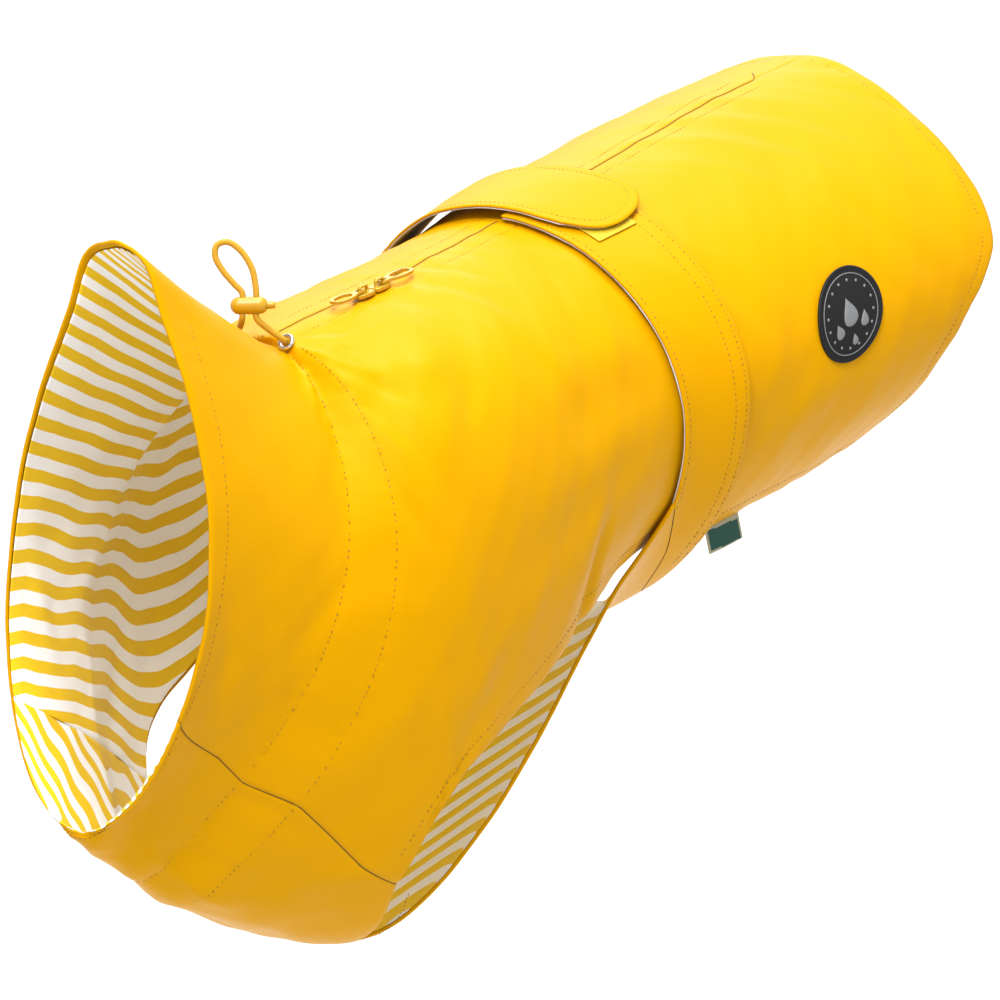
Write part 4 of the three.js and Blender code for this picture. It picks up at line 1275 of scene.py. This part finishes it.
def cutter(point, direction, radius, depth):
    data = bmesh.new()
    bmesh.ops.create_cone(
        data, cap_ends=True, segments=32, radius1=radius * MM, radius2=radius * MM, depth=depth * MM,
    )
    turn = Vector((0, 0, 1)).rotation_difference(Vector(direction).normalized()).to_matrix().to_4x4()
    bmesh.ops.transform(data, matrix=Matrix.Translation(Vector(point) * MM) @ turn, verts=data.verts)
    mesh = bpy.data.meshes.new("cutter")
    data.to_mesh(mesh)
    data.free()
    mesh.shade_smooth()
    mesh.materials.append(lock_plastic)
    return linked("cutter", mesh)


axis = Vector(LOCK["axis"]).normalized()
up = Vector(LOCK["up"]).normalized()
centre = Vector(LOCK["centre"]) + Vector((0, 0, BACK_HEIGHT))
points, faces = capsule(LOCK_SIZE["wide"], LOCK_SIZE["long"], 10, 40)
place = frame_matrix(centre, axis)
points = [tuple(place @ Vector(p)) for p in points]
lock = new_object("cord_lock_shown", points, faces, lock_plastic)
cutters = [
    cutter(centre + axis * (sign * LOCK_SIZE["apart"]), up, LOCK_SIZE["hole"], 20) for sign in (-1, 1)
]
lock_end = LOCK_SIZE["long"] / 2 + LOCK_SIZE["wide"]
cutters.append(cutter(centre + axis * lock_end, axis, LOCK_SIZE["seat"], LOCK_SIZE["seatDepth"]))
for piece in cutters:
    cut = lock.modifiers.new("cut", "BOOLEAN")
    cut.operation = "DIFFERENCE"
    cut.object = piece
    cut.solver = "EXACT"
bevelled(lock, 0.3, 2, 35)
for piece in cutters:
    bpy.data.objects.remove(piece)
stand_for(lock, "cord_lock", "coat")


def eased_copy(node, name, material, width):
    """A copy of a solid with its edges rounded"""
    obj = linked(name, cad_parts[node].data.copy())
    data = bmesh.new()
    data.from_mesh(obj.data)
    bmesh.ops.remove_doubles(data, verts=data.verts, dist=1e-6)
    bmesh.ops.dissolve_limit(data, angle_limit=math.radians(4), verts=data.verts, edges=data.edges)
    data.to_mesh(obj.data)
    data.free()
    obj.data.materials.clear()
    obj.data.materials.append(material)
    bevelled(obj, width, 3, 30)
    obj.data.shade_smooth()
    return obj


button = eased_copy("lock_button", "lock_button_shown", lock_plastic, 0.35)
stand_for(button, "lock_button", "button")
for name in ("front", "rear"):
    slider = eased_copy(f"slider_{name}", f"slider_{name}_shown", zip_metal, 0.4)
    stand_for(slider, f"slider_{name}", "coat")
    pull = eased_copy(f"pull_{name}", f"pull_{name}_shown", zip_metal, 0.3)
    stand_for(pull, f"pull_{name}", f"{name}_pull")

# Each sheet's cut before it was sewn
SHEETS = {
    # node: width and length in metres, area in square metres
    "back_left": (0.27, 0.62, 0.1342), "back_right": (0.27, 0.62, 0.1332),
    "lining_left": (0.27, 0.62, 0.1285), "lining_right": (0.27, 0.62, 0.1276),
    "chest_panel": (0.22, 0.19, 0.0293), "lining_chest": (0.22, 0.19, 0.0283),
    "belly_flap": (0.26, 0.24, 0.0478), "lining_belly": (0.26, 0.24, 0.0456),
    "belt_left": (0.05, 0.3, 0.0113), "lining_belt_left": (0.05, 0.3, 0.0109),
    "belt_right": (0.06, 0.36, 0.0152), "lining_belt_right": (0.06, 0.36, 0.0147),
}
for node, (width, length, area) in SHEETS.items():
    piece = shown[node]

# Floor, lights and camera
FLOOR_AT = -1.0
FLOOR_HALF = 14.0
floor_material, floor_tree, floor_shader = principled("floor", Roughness=0.9)
floor_shader.inputs["Base Color"].default_value = (0.74, 0.74, 0.74, 1)
floor_mesh = bpy.data.meshes.new("floor")
corners = [(x * FLOOR_HALF, y * FLOOR_HALF, FLOOR_AT) for x, y in ((-1, -1), (1, -1), (1, 1), (-1, 1))]
floor_mesh.from_pydata(corners, [], [(0, 1, 2, 3)])
floor_mesh.materials.append(floor_material)
floor = linked("floor", floor_mesh)

LIGHTS = [
    # name, place, aim, size, watts
    ("key", (-1.1, -0.8, 2.4), (-0.05, 0, -0.08), 1.2, 92),
    ("top", (0.7, 0.2, 2.3), (0.1, 0, -0.05), 1.4, 74),
    ("front", (-2.6, -0.6, 0.9), (-0.2, 0, -0.1), 1.2, 9),
    ("side", (0.9, -2.4, 0.7), (0, 0, -0.1), 1.6, 5),
    ("backdrop", (4.6, 4.0, 1.6), (4.6, 4.0, -1.0), 5.0, 170),
]
for name, place, aim, size, watts in LIGHTS:
    light = bpy.data.lights.new(name, "AREA")
    light.size = size
    light.energy = watts
    lamp = linked(name, light)
    lamp.location = place
    direction = Vector(aim) - Vector(place)
    lamp.rotation_euler = direction.to_track_quat("-Z", "Y").to_euler()

WORLD_STRENGTH = 0.8
world = bpy.data.worlds.new("studio")
world.use_nodes = True
world.node_tree.nodes["Background"].inputs["Color"].default_value = (1, 1, 1, 1)
world.node_tree.nodes["Background"].inputs["Strength"].default_value = WORLD_STRENGTH
bpy.context.scene.world = world
bpy.context.scene.view_settings.view_transform = "Standard"

camera_data = bpy.data.cameras.new("camera")
camera_data.lens = LENS_MM
camera_data.sensor_width = SENSOR_MM
camera_data.clip_end = 60
camera = linked("camera", camera_data)
right = Vector(CAMERA_RIGHT).normalized()
back = Vector(CAMERA_BACK).normalized()
above = back.cross(right).normalized()
right = above.cross(back)
turn = Matrix((right, above, back)).transposed().to_4x4()
camera.matrix_world = Matrix.Translation(Vector(CAMERA_AT)) @ turn
bpy.context.scene.camera = camera
